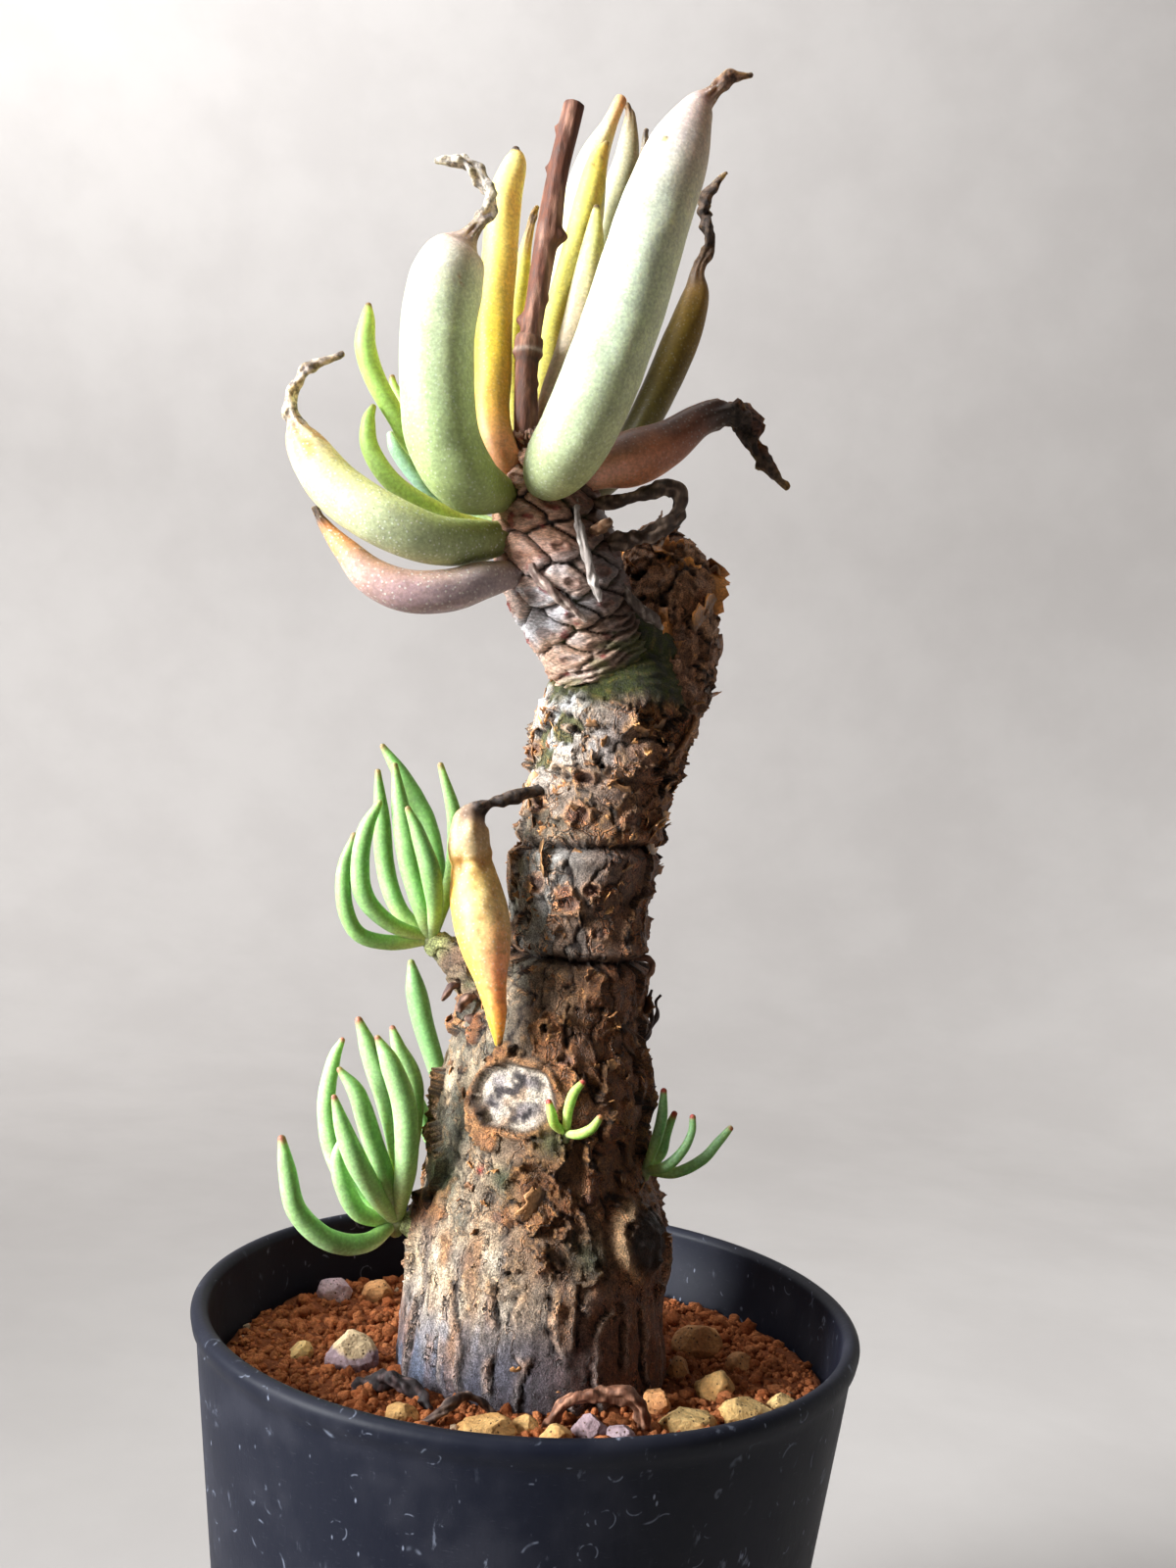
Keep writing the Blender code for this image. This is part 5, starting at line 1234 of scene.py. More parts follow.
# leaves: slot, the station where the dried tip starts, how dusty it is, its stations, and its
# colours by station number
LEAVES = {
    "leaf_front_left": ("sage", 7.4, 0.9, [
        (-10.4, -10.8, 187.5, 2.1), (-14.8, -17.5, 187.8, 4.1), (-17.8, -20, 191.8, 4.6),
        (-19.1, -21, 198, 4.6), (-19.6, -21, 205, 4.65), (-19.1, -20, 211.3, 4.6), (-18, -19, 215.6, 3.6),
        (-16.7, -19, 218, 1.2), (-14.5, -19, 221.5, 1), (-15, -19, 224.5, 1), (-18, -19, 227, 0.9),
        (-21.5, -19, 227, 0.4)],
     [(0, (0.34, 0.40, 0.11)), (1.2, (0.40, 0.50, 0.19)), (2.5, (0.48, 0.60, 0.30)), (4, (0.58, 0.67, 0.41)),
      (5.2, (0.62, 0.60, 0.46)), (6, (0.66, 0.51, 0.42)), (6.8, (0.50, 0.36, 0.27)),
      (7.3, (0.20, 0.14, 0.10)), (8, ASH), (11, ASH)]),
    "leaf_front_right": ("sage", 8.3, 0.9, [
        (-6, -11, 188.8, 1.8), (-4, -17, 190.6, 4.2), (-1.5, -20, 194.5, 4.7), (1, -20, 201.5, 4.9),
        (3.5, -19, 211, 4.9), (6, -18, 222, 4.7), (8.5, -17, 231, 4.1), (10.5, -17, 236.5, 2.3),
        (12, -17, 238.5, 1.1), (14.5, -17, 241, 0.9), (17, -17, 241.5, 0.4)],
     [(0, (0.40, 0.46, 0.17)), (1, (0.44, 0.50, 0.26)), (2.4, (0.53, 0.61, 0.39)), (4, (0.63, 0.72, 0.53)),
      (5.0, (0.66, 0.70, 0.55)), (5.9, (0.66, 0.58, 0.52)), (7.2, (0.56, 0.42, 0.38)),
      (7.8, (0.30, 0.19, 0.15)),
      (8.3, (0.16, 0.09, 0.06)), (10, (0.13, 0.08, 0.055))]),
    "leaf_yellow_left": ("golden", 8.6, 0.3, [
        (-8, -8.5, 191, 1.3), (-11, -11, 192.5, 2.2), (-13, -10, 197.5, 2.4), (-13.5, -8, 204, 2.5),
        (-14, -6, 212.5, 2.5), (-14, -4, 221, 2.4), (-14, -3, 229, 2.3), (-13, -3, 234, 1.6),
        (-13, -3, 236, 0.5)],
     [(0, (0.46, 0.14, 0.06)), (1, (0.80, 0.38, 0.21)), (2, (0.68, 0.38, 0.08)), (3.5, (0.60, 0.43, 0.04)),
      (5.5, (0.88, 0.70, 0.18)), (7, (0.92, 0.77, 0.30)), (7.7, (0.66, 0.49, 0.16)),
      (7.95, (0.05, 0.03, 0.02))]),
    "leaf_lime_back": ("lime", 5.4, 0.3, [
        (-9, -7, 193, 0.8), (-10.5, -3, 199, 1.1), (-12, 1, 207, 1.3), (-12, 3, 214, 1.4),
        (-11.5, 4, 221.5, 1.2), (-11, 4, 226.5, 0.7), (-10, 4, 231, 0.4)],
     [(0, (0.50, 0.40, 0.10)), (2, (0.62, 0.60, 0.12)), (4, (0.60, 0.58, 0.13)), (5, (0.42, 0.30, 0.12)),
      (5.6, (0.13, 0.08, 0.045)), (6, (0.12, 0.07, 0.04))]),
    "leaf_bright_yellow": ("golden", 9, 0.3, [
        (-8, -6, 192, 0.9), (-7.5, -2, 198.5, 1.3), (-7, 1, 206.5, 1.6), (-6.5, 4, 214.5, 1.9),
        (-4.5, 6, 224, 2.1), (-3, 7, 233.5, 2), (-2, 7, 239.5, 1.4), (-1, 7, 242, 0.4)],
     [(0, (0.55, 0.42, 0.12)), (2, (0.66, 0.62, 0.14)), (4, (0.74, 0.70, 0.17)), (5.6, (0.80, 0.70, 0.16)),
      (6.6, (0.62, 0.45, 0.12)), (7, (0.10, 0.06, 0.03))]),
    "leaf_pink_lime": ("blush", 9, 0.3, [
        (-6.5, -8, 192, 0.8), (-6.1, -6.6, 200.5, 1.3), (-3.7, -6.2, 208.7, 1.8), (-2.3, -5.5, 216.9, 1.9),
        (-1.6, -5, 223, 1.5), (-1.5, -5, 226.7, 0.8), (-1.5, -5, 228.2, 0.4)],
     [(0, (0.45, 0.25, 0.16)), (1.2, (0.64, 0.46, 0.34)), (2.5, (0.66, 0.56, 0.36)), (4, (0.68, 0.68, 0.26)),
      (5.4, (0.70, 0.66, 0.24)), (5.9, (0.12, 0.08, 0.04))]),
    "leaf_cream_back": ("cream", 9, 0.5, [
        (-6.5, -5, 190.5, 1), (-6, 1.5, 197, 1.5), (-5.5, 7.5, 208, 2.5), (-4.8, 11.5, 221, 3),
        (-4, 13.5, 234, 3.2), (-3, 14, 242, 2.3), (-1, 14, 247.5, 1.2), (0.5, 14, 251.5, 0.9)],
     [(0, (0.50, 0.42, 0.15)), (2.5, (0.70, 0.64, 0.34)), (4.5, (0.78, 0.74, 0.46)),
      (5.6, (0.86, 0.74, 0.46)),
      (6.4, (0.92, 0.60, 0.32)), (7, (0.60, 0.32, 0.15))]),
    "leaf_grey_back": ("grey_green", 6.4, 0.5, [
        (-4, -4.5, 191, 0.9), (-2.2, 4.5, 199, 1.2), (-0.6, 13, 212, 1.9), (0, 19, 227, 2.2),
        (1, 21, 239.5, 2.4), (2, 21, 246.5, 1.8), (2, 21, 252, 0.9), (1.5, 21, 254, 0.5)],
     [(0, (0.42, 0.42, 0.16)), (3, (0.50, 0.52, 0.30)), (4.6, (0.52, 0.50, 0.33)), (5.6, (0.42, 0.36, 0.22)),
      (6.3, (0.22, 0.14, 0.08)), (7, (0.14, 0.09, 0.05))]),
    "leaf_behind_sage": ("sage", 5.8, 0.5, [
        (-2.5, -4.5, 190.5, 0.9), (1.5, 2, 199, 1.5), (2.6, 7.5, 211, 2.1), (3.6, 9.8, 224.5, 2.3),
        (4, 10, 236, 1.7), (4.5, 10, 241.5, 0.8), (4.5, 10, 245.5, 0.4)],
     [(0, (0.40, 0.46, 0.16)), (2, (0.50, 0.58, 0.34)), (4, (0.50, 0.54, 0.36)), (5, (0.30, 0.24, 0.16)),
      (6, SOOT)]),
    "leaf_mustard": ("mustard", 6.2, 0.3, [
        (-1.5, -7, 187, 1.2), (3.5, 0, 194, 2), (7, 7, 202.5, 2.3), (9.5, 10.5, 209.5, 2.6),
        (12, 12, 217, 2.6), (13.5, 12.5, 223, 2), (13.5, 12, 226.5, 1), (15, 12, 230.5, 0.9),
        (14, 12, 234.5, 1),
        (14, 12, 237.5, 0.9), (16.5, 12, 241, 0.4)],
     [(0, (0.14, 0.13, 0.035)), (1.5, (0.17, 0.15, 0.035)), (3, (0.15, 0.105, 0.012)),
      (4.3, (0.23, 0.14, 0.014)),
      (5.2, (0.28, 0.16, 0.04)), (5.9, (0.20, 0.12, 0.07)), (7, SOOT), (10, (0.10, 0.065, 0.045))]),
    "leaf_dusty_pink": ("rose", 4.9, 0.4, [
        (-2.5, -9, 190, 1.6), (1.5, -11, 192, 2.8), (5.5, -11, 193.5, 3.6), (10, -10, 196, 3),
        (14, -9, 199.5, 2.2), (17.5, -8, 201, 2), (20.5, -7, 200.5, 1.8), (21.5, -7, 197.5, 1.2),
        (24, -7, 194.5, 1), (26.5, -7, 192, 0.4)],
     [(0, (0.80, 0.50, 0.38)), (1, (0.86, 0.45, 0.31)), (2.4, (0.66, 0.26, 0.14)), (3.3, (0.30, 0.11, 0.06)),
      (4.2, (0.12, 0.065, 0.05)), (5, SOOT), (7, (0.06, 0.04, 0.03)), (9, (0.10, 0.07, 0.05))]),
    "leaf_speckled_left": ("speckled", 5.7, 1.9, [
        (-9, -8.5, 182.8, 1.9), (-14.5, -13, 180.9, 2.9), (-19, -17, 180.3, 3.2), (-25, -19, 182, 3.4),
        (-31, -18, 185.5, 3.3), (-35, -17, 190, 2.7), (-37.5, -16, 194, 1.2), (-38, -16, 197.5, 0.8),
        (-36, -16, 201, 0.7), (-32, -16, 203, 0.4)],
     [(0, (0.40, 0.46, 0.16)), (1.4, (0.46, 0.55, 0.24)), (3, (0.60, 0.65, 0.38)), (4.3, (0.70, 0.68, 0.36)),
      (5.0, (0.74, 0.64, 0.40)), (5.5, (0.62, 0.40, 0.20)), (6.0, (0.50, 0.40, 0.30)),
      (6.6, (0.58, 0.50, 0.41)),
      (7.6, (0.36, 0.29, 0.24)), (9, (0.22, 0.17, 0.14))]),
    "leaf_mauve_left": ("mauve", 6.6, 1.6, [
        (-7.5, -9, 178, 1.4), (-12, -14, 176, 2.4), (-16.5, -16, 174, 2.7), (-21.5, -17, 173.5, 2.7),
        (-26, -17, 175, 2.4), (-29.5, -17, 178, 1.6), (-32, -17, 180.5, 0.9), (-34, -17, 183, 0.4)],
     [(0, (0.50, 0.41, 0.40)), (1.3, (0.48, 0.38, 0.38)), (3, (0.49, 0.33, 0.33)), (4.4, (0.62, 0.39, 0.31)),
      (5.3, (0.80, 0.40, 0.18)), (6.1, (0.55, 0.24, 0.10)), (6.6, (0.14, 0.08, 0.05)), (7, SOOT)]),
    "leaf_green_far_left": ("apple", 9, 0.2, [
        (-9.5, -6, 188, 0.7), (-16, -5, 189, 0.9), (-23, -7, 193.5, 1.2), (-25.5, -9, 197, 1.3),
        (-28.5, -10, 201.5, 1.4), (-30, -11, 205.5, 1.4), (-30, -11, 209, 1), (-30, -11, 211, 0.4)],
     [(0, (0.45, 0.55, 0.16)), (3, (0.40, 0.62, 0.14)), (5, (0.42, 0.64, 0.17)), (6.5, (0.40, 0.58, 0.14)),
      (6.9, (0.16, 0.10, 0.04))]),
    "leaf_green_low_left": ("apple", 9, 0.2, [
        (-9, -4, 184.5, 0.6), (-15, -5.5, 184.5, 1), (-21, -9, 186, 1.2), (-25.5, -10.5, 188.5, 1.3),
        (-28.5, -10.5, 192.5, 1.2), (-29, -10.5, 196, 0.9), (-28.5, -10.5, 198, 0.4)],
     [(0, (0.45, 0.55, 0.16)), (3, (0.42, 0.62, 0.17)), (5.5, (0.38, 0.57, 0.14)), (6, (0.20, 0.14, 0.05))]),
    "leaf_green_small": ("apple", 9, 0.2, [
        (-9, -4, 190, 0.6), (-15, -2.5, 191, 0.8), (-20.5, -1.5, 192.5, 0.9), (-23, -2, 195.5, 0.9),
        (-25, -3, 199.5, 0.9), (-27, -3, 202.5, 0.6), (-27.5, -3, 204, 0.4)],
     [(0, (0.42, 0.52, 0.16)), (3, (0.40, 0.60, 0.17)), (5.5, (0.36, 0.54, 0.14)), (6, (0.18, 0.12, 0.05))]),
    "leaf_blue_green": ("blue_green", 9, 0.2, [
        (-8, -3, 184, 0.6), (-14, -0.5, 186, 0.8), (-19, -0.5, 187.5, 1), (-23, -3, 190.5, 1.1),
        (-26, -4, 194, 1), (-27, -4, 196, 0.5)],
     [(0, (0.34, 0.46, 0.20)), (3, (0.30, 0.50, 0.34)), (5, (0.28, 0.46, 0.26))]),
}

waxy = Finish("waxy_leaf", {"Specular IOR Level": 0.42, "Subsurface Weight": 0.38, "Subsurface Scale": 0.0035,
                            "Subsurface Radius": (1.0, 0.8, 0.4)})
withered = waxy.painted("dry", "Fac")
dusty = waxy.painted("bloom", "Fac")
bloom = waxy.grain(0.42, 4.0)
wide_bloom = waxy.grain(2.6, 3.0)
freckle = waxy.between(waxy.dots(0.62), 0.16, 0.30, 1.0, 0.0)
clouded = waxy.between(bloom, 0.32, 0.70, 0.80, 1.14) * waxy.between(wide_bloom, 0.3, 0.7, 0.91, 1.09)
leaf_shade = waxy.scaled(waxy.painted("tint"), clouded)
leaf_shade = waxy.mix(freckle * dusty * 0.30, leaf_shade, (0.92, 0.94, 0.84))
pinpricks = waxy.between(waxy.dots(1.35), 0.05, 0.12, 1.0, 0.0)
leaf_shade = waxy.mix(pinpricks * dusty * 0.35, leaf_shade, (0.24, 0.26, 0.12))
strands = waxy.grain(0.8, 4.0)
dried_shade = waxy.grained(strands, 0.36, 0.66, 0.35, 1.65)
leaf_shade = waxy.mix(withered, leaf_shade, dried_shade)
waxy.feed("Base Color", leaf_shade)
waxy.feed("Roughness", 0.44 + bloom * 0.14 + withered * 0.3)
waxy.emboss(bloom * (1 - withered) * 0.25 + strands * withered * 2.5 + freckle * dusty * 0.12, 0.12)


def by_station(level, stops):
    """Blend colours along a leaf, from stops of (station number, colour)."""
    at = [stop for stop, _ in stops]
    channels = zip(*[colour for _, colour in stops])
    return np.stack([np.interp(level, at, channel) for channel in channels], -1)


def grow_leaf(name, stations, stops, dry_from, dusty_by, salt, slot, nodes, sides, steps, furrow, shading):
    """Grow one leaf: smooth and full where it lives, shrunk, ridged and twisted where it has dried."""
    leaf = Sleeve(stations, sides=sides, steps=steps)
    where = leaf.skin
    dry = ease(dry_from - 0.35, dry_from + 0.45, leaf.level)
    pucker = np.exp(-((leaf.level - dry_from + 0.15) / 0.45) ** 2)
    soft = 0.018 * lumps(where / 3.0, salt)
    soft = soft + furrow * np.sin(leaf.turn * 5 + leaf.travelled * 0.05) * lumps(where / 6, salt + 1)
    twist = leaf.turn + leaf.travelled * 0.55 + 1.5 * lumps(where / 3, salt + 2)
    shrunk = -0.45 * np.cos(twist) ** 2 + 0.10 * np.sin(twist * 3)
    shrunk = shrunk + 0.42 * lumps(where / 0.9, salt + 3) + 0.12
    drawn = pucker * (0.10 * np.sin(leaf.turn * 7 + 1.3 * lumps(where / 2, salt + 4)) - 0.05)
    offset = leaf.radius * (soft * (1 - dry) + shrunk * dry + drawn)
    tint = by_station(leaf.level + 0.18 * lumps(where / 1.8, salt + 5), stops)
    creased = 0.25 * pucker * ease(0.0, 0.8, np.sin(leaf.turn * 7))
    tint = tint * (1 + 0.05 * lumps(where / 2.5, salt + 6) - creased)[..., None]
    # painted light: on a live leaf the side away from the window is warmed, red up and blue down, as if lit
    # by yellow light bounced from the leaves beside it
    painted_warm_bounce = ease(0.0, 1.0, -np.sin(leaf.turn)) * (1 - dry)
    tint = tint * (1 - painted_warm_bounce[..., None] * np.array((-0.10, -0.02, 0.22)))
    # painted shade: on a live leaf the side that faces the window is darkened by the shading share, so that
    # lit and shaded sides differ less
    lit_side_painted_dim = 1 - shading * ease(-0.2, 0.9, np.sin(leaf.turn)) * (1 - dry)
    tint = np.minimum(tint * lit_side_painted_dim[..., None], 0.92)
    if slot == "rose":
        dusky = ease(0.15, 0.85, np.sin(leaf.turn) + 0.3 * lumps(where / 1.6, salt + 8))
        tint = tinted(tint, (0.10, 0.040, 0.024), dusky * ease(0.5, 2, leaf.level) * 0.8)
    for level, turn, radius, colour in LEAF_SPOTS.get(name.removesuffix("_grown"), []):
        middle_of_spot = np.argmin(np.abs(leaf.level[:, 0] - level))
        ahead = leaf.travelled - leaf.travelled[middle_of_spot, 0]
        away = np.hypot(leaf.past(turn) * leaf.radius, ahead) * (1 + 0.4 * lumps(where / 0.9, salt + 7))
        tint = tinted(tint, colour, (1 - ease(0.5 * radius, radius, away)) * 0.85)
    points, quads, triangles = leaf.pushed(offset)
    layers = {"tint": leaf.spread(tint), "dry": leaf.spread(dry),
              "bloom": leaf.spread(np.full(dry.shape, dusty_by))}
    return keep(show(name, make_mesh(name, points, quads, triangles, layers), waxy), slot, *nodes)


for number, (name, (slot, dry_from, dusty_by, stations, stops)) in enumerate(LEAVES.items()):
    furrow = 0.05 if slot in ("golden", "blush", "mustard", "rose", "cream", "mauve") else 0.02
    big = max(station[3] for station in stations) > 4
    sides, steps, shading = (64, 16, 0.22) if big else (40, 11, 0.12)
    grow_leaf(name + "_grown", stations, stops, dry_from, dusty_by, 400 + number * 10, slot, [name],
              sides=sides, steps=steps, furrow=furrow, shading=shading)


# The young shoots: tufts of slim green leaves that spring from buds low on the trunk, each leaf
# paler at its foot, bluish with bloom, and tipped with a tiny red point.
TUFTS = {
    "tuft_branch": ((-16.5, -5, 128.7, 1.3), [
        [(-21.5, -7, 128, 1), (-25.5, -9, 129, 1), (-27.5, -10, 132.5, 1), (-28, -10, 137.5, 0.9),
         (-27, -10, 142, 0.4)],
        [(-21.5, -8, 130.5, 1), (-25, -10, 134, 1.2), (-26, -10, 138.5, 1.2), (-25.5, -10, 143, 1),
         (-24, -10, 146.5, 0.4)],
        [(-21, -4, 132, 1.1), (-23.5, -3, 137.5, 1.2), (-24.5, -3, 144, 1.1), (-25.5, -3, 150.5, 0.4)],
        [(-17.5, -8, 132.5, 1.2), (-19.5, -9, 138.5, 1.4), (-21, -9, 144.5, 1.3), (-22.5, -9, 151.5, 0.4)],
        [(-16, -2, 133, 1.1), (-17, -1, 138.5, 1.3), (-19, 0, 144.5, 1.3), (-22.5, 0, 150, 1.1),
         (-25.5, 0, 154, 0.4)],
        [(-15.8, -9.5, 133, 1), (-16.5, -12, 138, 1.3), (-18.5, -12, 143, 0.9), (-20, -12, 146, 0.4)],
        [(-14.5, -5, 136.5, 0.9), (-14.5, -4, 144.5, 1), (-17, -4, 152, 0.4)]]),
    "tuft_low_left": ((-18.5, -4, 90.3, 1.4), [
        [(-22, -7, 88, 1.3), (-26.5, -10, 89, 1.4), (-30.5, -12, 93, 1.3), (-32, -13, 98.5, 1.1),
         (-33, -13, 102.5, 0.5)],
        [(-22.5, -2, 91, 1.2), (-27.5, -1, 97, 1.3), (-29.5, -1, 104, 1.2), (-29, -1, 110.5, 0.9),
         (-28, -1, 113.5, 0.4)],
        [(-19.5, -8, 96, 1.2), (-22, -10, 103, 1.3), (-24, -11, 108.5, 1.1), (-26.5, -11, 111.5, 0.4)],
        [(-20.5, -9, 94.5, 1.2), (-23, -13, 100, 1.4), (-25, -14, 104.5, 1.1), (-26.5, -14, 108.5, 0.4)],
        [(-23, -6, 91.5, 1.2), (-25.5, -7, 95.5, 1.2), (-26.5, -7, 99, 0.9), (-26, -7, 102, 0.4)],
        [(-18.5, -7, 100, 1.3), (-20.5, -7.5, 107, 1.4), (-23, -7.5, 113, 1.3), (-25, -7.5, 117.5, 0.5)],
        [(-17, -11, 99.5, 1.4), (-17.5, -13, 107.5, 1.5), (-19.5, -14, 113, 1.3), (-21.5, -14, 116.5, 0.4)],
        [(-17.5, -3, 99, 1.1), (-17.5, -3, 108.5, 1.2), (-20, -3, 113.5, 0.9), (-21, -3, 116, 0.4)]]),
    "tuft_back_left": ((-12.5, 5, 101, 1.4), [
        [(-15, 5, 108.5, 1.2), (-17.5, 5, 115, 1.4), (-19, 5, 120, 1.4), (-20, 5, 124, 0.5)],
        [(-15.5, 3, 102, 0.9), (-17.5, 2, 105, 1.1), (-19, 2, 109, 0.5)],
        [(-14.5, 2.5, 99.5, 0.9), (-16, 1, 102, 0.8), (-17, 1, 105, 0.4)]]),
    "tuft_front": ((3.5, -13.8, 106, 0.8), [
        [(2, -16, 107.5, 0.6), (1.5, -17, 109, 0.6), (1, -17, 110.5, 0.4)],
        [(3.5, -17, 109.5, 0.6), (4, -18, 112, 0.6), (5, -18, 113.5, 0.4)],
        [(5, -18, 107, 0.6), (6.5, -19, 108, 0.6), (7.5, -19, 109.5, 0.4)]]),
    "tuft_right": ((14.5, -4, 99.5, 0.9), [
        [(15.5, -6, 104, 0.7), (16, -7, 107.5, 0.7), (16, -7, 111, 0.4)],
        [(16.5, -2.5, 101.5, 0.7), (17, -2, 104, 0.7), (18, -2, 107, 0.4)],
        [(17, -7, 101, 0.7), (19, -8, 103.5, 0.6), (20, -8, 106, 0.5), (20, -8, 108, 0.4)],
        [(18.5, -4, 99.5, 0.7), (22, -4, 101.5, 0.7), (24, -4, 104, 0.6), (25.5, -4, 106, 0.4)]]),
}
SHOOT_COLOURS = {"tuft_branch": (0.31, 0.55, 0.20), "tuft_low_left": (0.40, 0.64, 0.28),
                 "tuft_back_left": (0.27, 0.50, 0.20), "tuft_front": (0.42, 0.62, 0.15),
                 "tuft_right": (0.27, 0.50, 0.22)}
SHOOT_TIPS = {"tuft_branch": (0.30, 0.20, 0.10), "tuft_low_left": (0.42, 0.14, 0.10),
              "tuft_back_left": (0.24, 0.22, 0.10), "tuft_front": (0.50, 0.06, 0.06),
              "tuft_right": (0.40, 0.05, 0.05)}


def shoot_part(stations, stops, salt, sides, steps, ridge=0.03):
    """Shape one slim leaf, or the bud, of a young shoot."""
    blade = Sleeve(stations, sides=sides, steps=steps, end=1.0)
    where = blade.skin
    offset = blade.radius * (ridge * lumps(where / 1.5, salt) - 0.06 * np.cos(blade.turn * 2))
    tint = by_station(blade.level + 0.1 * lumps(where / 1.2, salt + 1), stops)
    tint = tint * (1 + 0.06 * lumps(where / 1.1, salt + 2))[..., None]
    # painted shade: the side of each blade away from the window is darker and deeper green
    tint = tint * (1 - ease(-0.35, 0.75, -np.sin(blade.turn))[..., None] * np.array((0.50, 0.30, 0.55)))
    layers = {"tint": blade.spread(tint), "dry": blade.spread(0 * blade.turn),
              "bloom": blade.spread(0.2 + 0 * blade.turn)}
    return *blade.pushed(offset), layers


for number, (name, (bud, blades)) in enumerate(TUFTS.items()):
    x, y, z, radius = bud
    green = np.array(SHOOT_COLOURS[name])
    foot_green = green * 0.45 + np.array((0.42, 0.46, 0.17))
    core = [(x, y, z - radius, radius * 0.6), (x, y, z, radius), (x, y, z + radius, radius * 0.6)]
    parts = [shoot_part(core, [(0, (0.40, 0.38, 0.18)), (1, (0.52, 0.56, 0.26)), (2, (0.50, 0.60, 0.24))],
                        salt=600 + number, sides=28, steps=7, ridge=0.12)]
    for index, stations in enumerate(blades):
        route = [(x, y, z, radius * 0.6), *stations]
        last = len(route) - 1
        pale = green * (1.0 + 0.10 * math.sin(index * 2.3))
        stops = [(0, foot_green), (0.7, foot_green * 0.6 + pale * 0.4), (1.3, pale),
                 (last - 0.3, pale * 0.95), (last - 0.10, pale * 0.8 + np.array((0.05, 0, 0))),
                 (last, SHOOT_TIPS[name])]
        parts.append(shoot_part(route, stops, salt=620 + number * 20 + index, sides=20, steps=9))
    keep(show(name + "_grown", make_mesh(name, *joined(parts)), waxy), "shoot", name)


# The dead flower stalk: last year's stem, cut off blunt, red-brown and finely ribbed, with the
# knots where its flowers branched and a pale broken ring near its foot.
FLOWER_STALK = [(-8, -9.5, 192, 1.6), (-8.5, -10, 197.5, 1.6), (-9, -9, 204, 1.5), (-9, -8, 208.5, 1.9),
                (-8.8, -7.7, 210.5, 1.4), (-8, -6, 221, 1.5), (-7.6, -5.6, 224, 1.7), (-7, -5, 232, 1.4),
                (-5.5, -4, 242, 1.4)]
# knots: (turn, height, how far it stands out, size)
STALK_KNOTS = [(1.6, 211.5, 0.9, 1.1), (-1.5, 223.6, 1.0, 1.2), (1.8, 233.0, 0.6, 0.8),
               (-2.4, 203.0, 0.6, 1.0), (1.4, 238.5, 0.5, 0.7), (-1.4, 214.6, 0.4, 0.8)]
woody = Finish("dead_stem", {"Specular IOR Level": 0.35})
stem_grain = woody.grain(0.5, 4.0, woody.stretched(1, 1, 0.22))
woody.feed("Base Color", woody.grained(stem_grain, 0.32, 0.70, 0.62, 1.35))
woody.feed("Roughness", woody.between(stem_grain, 0.3, 0.7, 0.5, 0.8))
woody.emboss(stem_grain + woody.grain(0.15) * 0.3, 0.16)

stalk = Sleeve(FLOWER_STALK, sides=56, steps=20, end=0.12)
where = stalk.skin
height = where[..., 2]
ribs = 0.025 * np.sin(stalk.turn * 9 + 2 * lumps(where / 5, 701)) + 0.05 * lumps(where / (0.9, 0.9, 3.5), 702)
offset = ribs - 0.10 * np.exp(-((height - 205.8) / 0.5) ** 2) + 0.22 * np.exp(-((height - 206.9) / 0.45) ** 2)
for turn, level, reach, size in STALK_KNOTS:
    slip = stalk.past(turn)
    offset = offset + reach * np.exp(-((slip * 1.5) ** 2 + (height - level) ** 2) / (size * 0.7) ** 2)
tint = layered(
    (0.130, 0.046, 0.026),
    ((0.30, 0.150, 0.100), ease(-0.2, 0.6, lumps(where / (0.7, 0.7, 6.0), 703))),
    ((0.09, 0.040, 0.026), ease(0.3, 0.8, lumps(where / 2.2, 704)) * 0.7),
    ((0.42, 0.33, 0.27), np.exp(-((height - 207.2) / 0.35) ** 2) * 0.6),
    ((0.06, 0.03, 0.02), np.exp(-((height - 205.9) / 0.45) ** 2) * 0.8),
    ((0.16, 0.065, 0.045), (1 - ease(194, 201, height)) * 0.7),
)
stalk_mesh = make_mesh("cut_flower_stalk", *stalk.pushed(offset), {"tint": stalk.spread(tint)})
keep(show("cut_flower_stalk", stalk_mesh, woody), "stalk", "flower_stalk")


# The hanging leaf: a spent leaf, yellow with an orange point, that dangles from its black dried
# foot beside the trunk. It is shrunk and beige near the foot, with a wrinkled ring.
HANGING_LEAF = [(-2.5, -5, 150, 0.7), (-7, -7.5, 148.3, 0.8), (-10.5, -9, 147, 0.9), (-12, -9.3, 145, 2.2),
                (-12, -9.5, 142, 2.8), (-11.5, -9.5, 139.5, 2.9), (-10.5, -10, 135.5, 3.5),
                (-9.5, -11.5, 132, 3.7), (-8.5, -12.5, 128.5, 3.2), (-7.5, -13.5, 124.5, 2),
                (-6.5, -14.5, 120.5, 1.3), (-6, -14.5, 117, 0.5)]
spent = Sleeve(HANGING_LEAF, sides=60, steps=14)
where = spent.skin
dry = 1 - ease(2.05, 2.75, spent.level)
wrinkle = np.exp(-((spent.level - 4.9) / 0.5) ** 2) + 0.8 * np.exp(-((spent.level - 3.3) / 0.5) ** 2)
offset = spent.radius * (0.04 * lumps(where / 2.4, 711)
                         + 0.09 * np.sin(spent.turn * 6 + 2 * lumps(where / 3, 712)) * wrinkle
                         + dry * (0.35 * lumps(where / 1.0, 713)
                                  - 0.2 * np.cos(spent.turn * 2 + spent.travelled))
                         - 0.10 * np.exp(-((spent.level - 5.0) / 0.22) ** 2)
                         + 0.06 * ease(8, 10, spent.level) * lumps(where / 0.9, 714))
offset = offset - 0.22 * np.exp(-(spent.past(-0.75) / 0.25) ** 2) * ease(6.5, 8.5, spent.level)
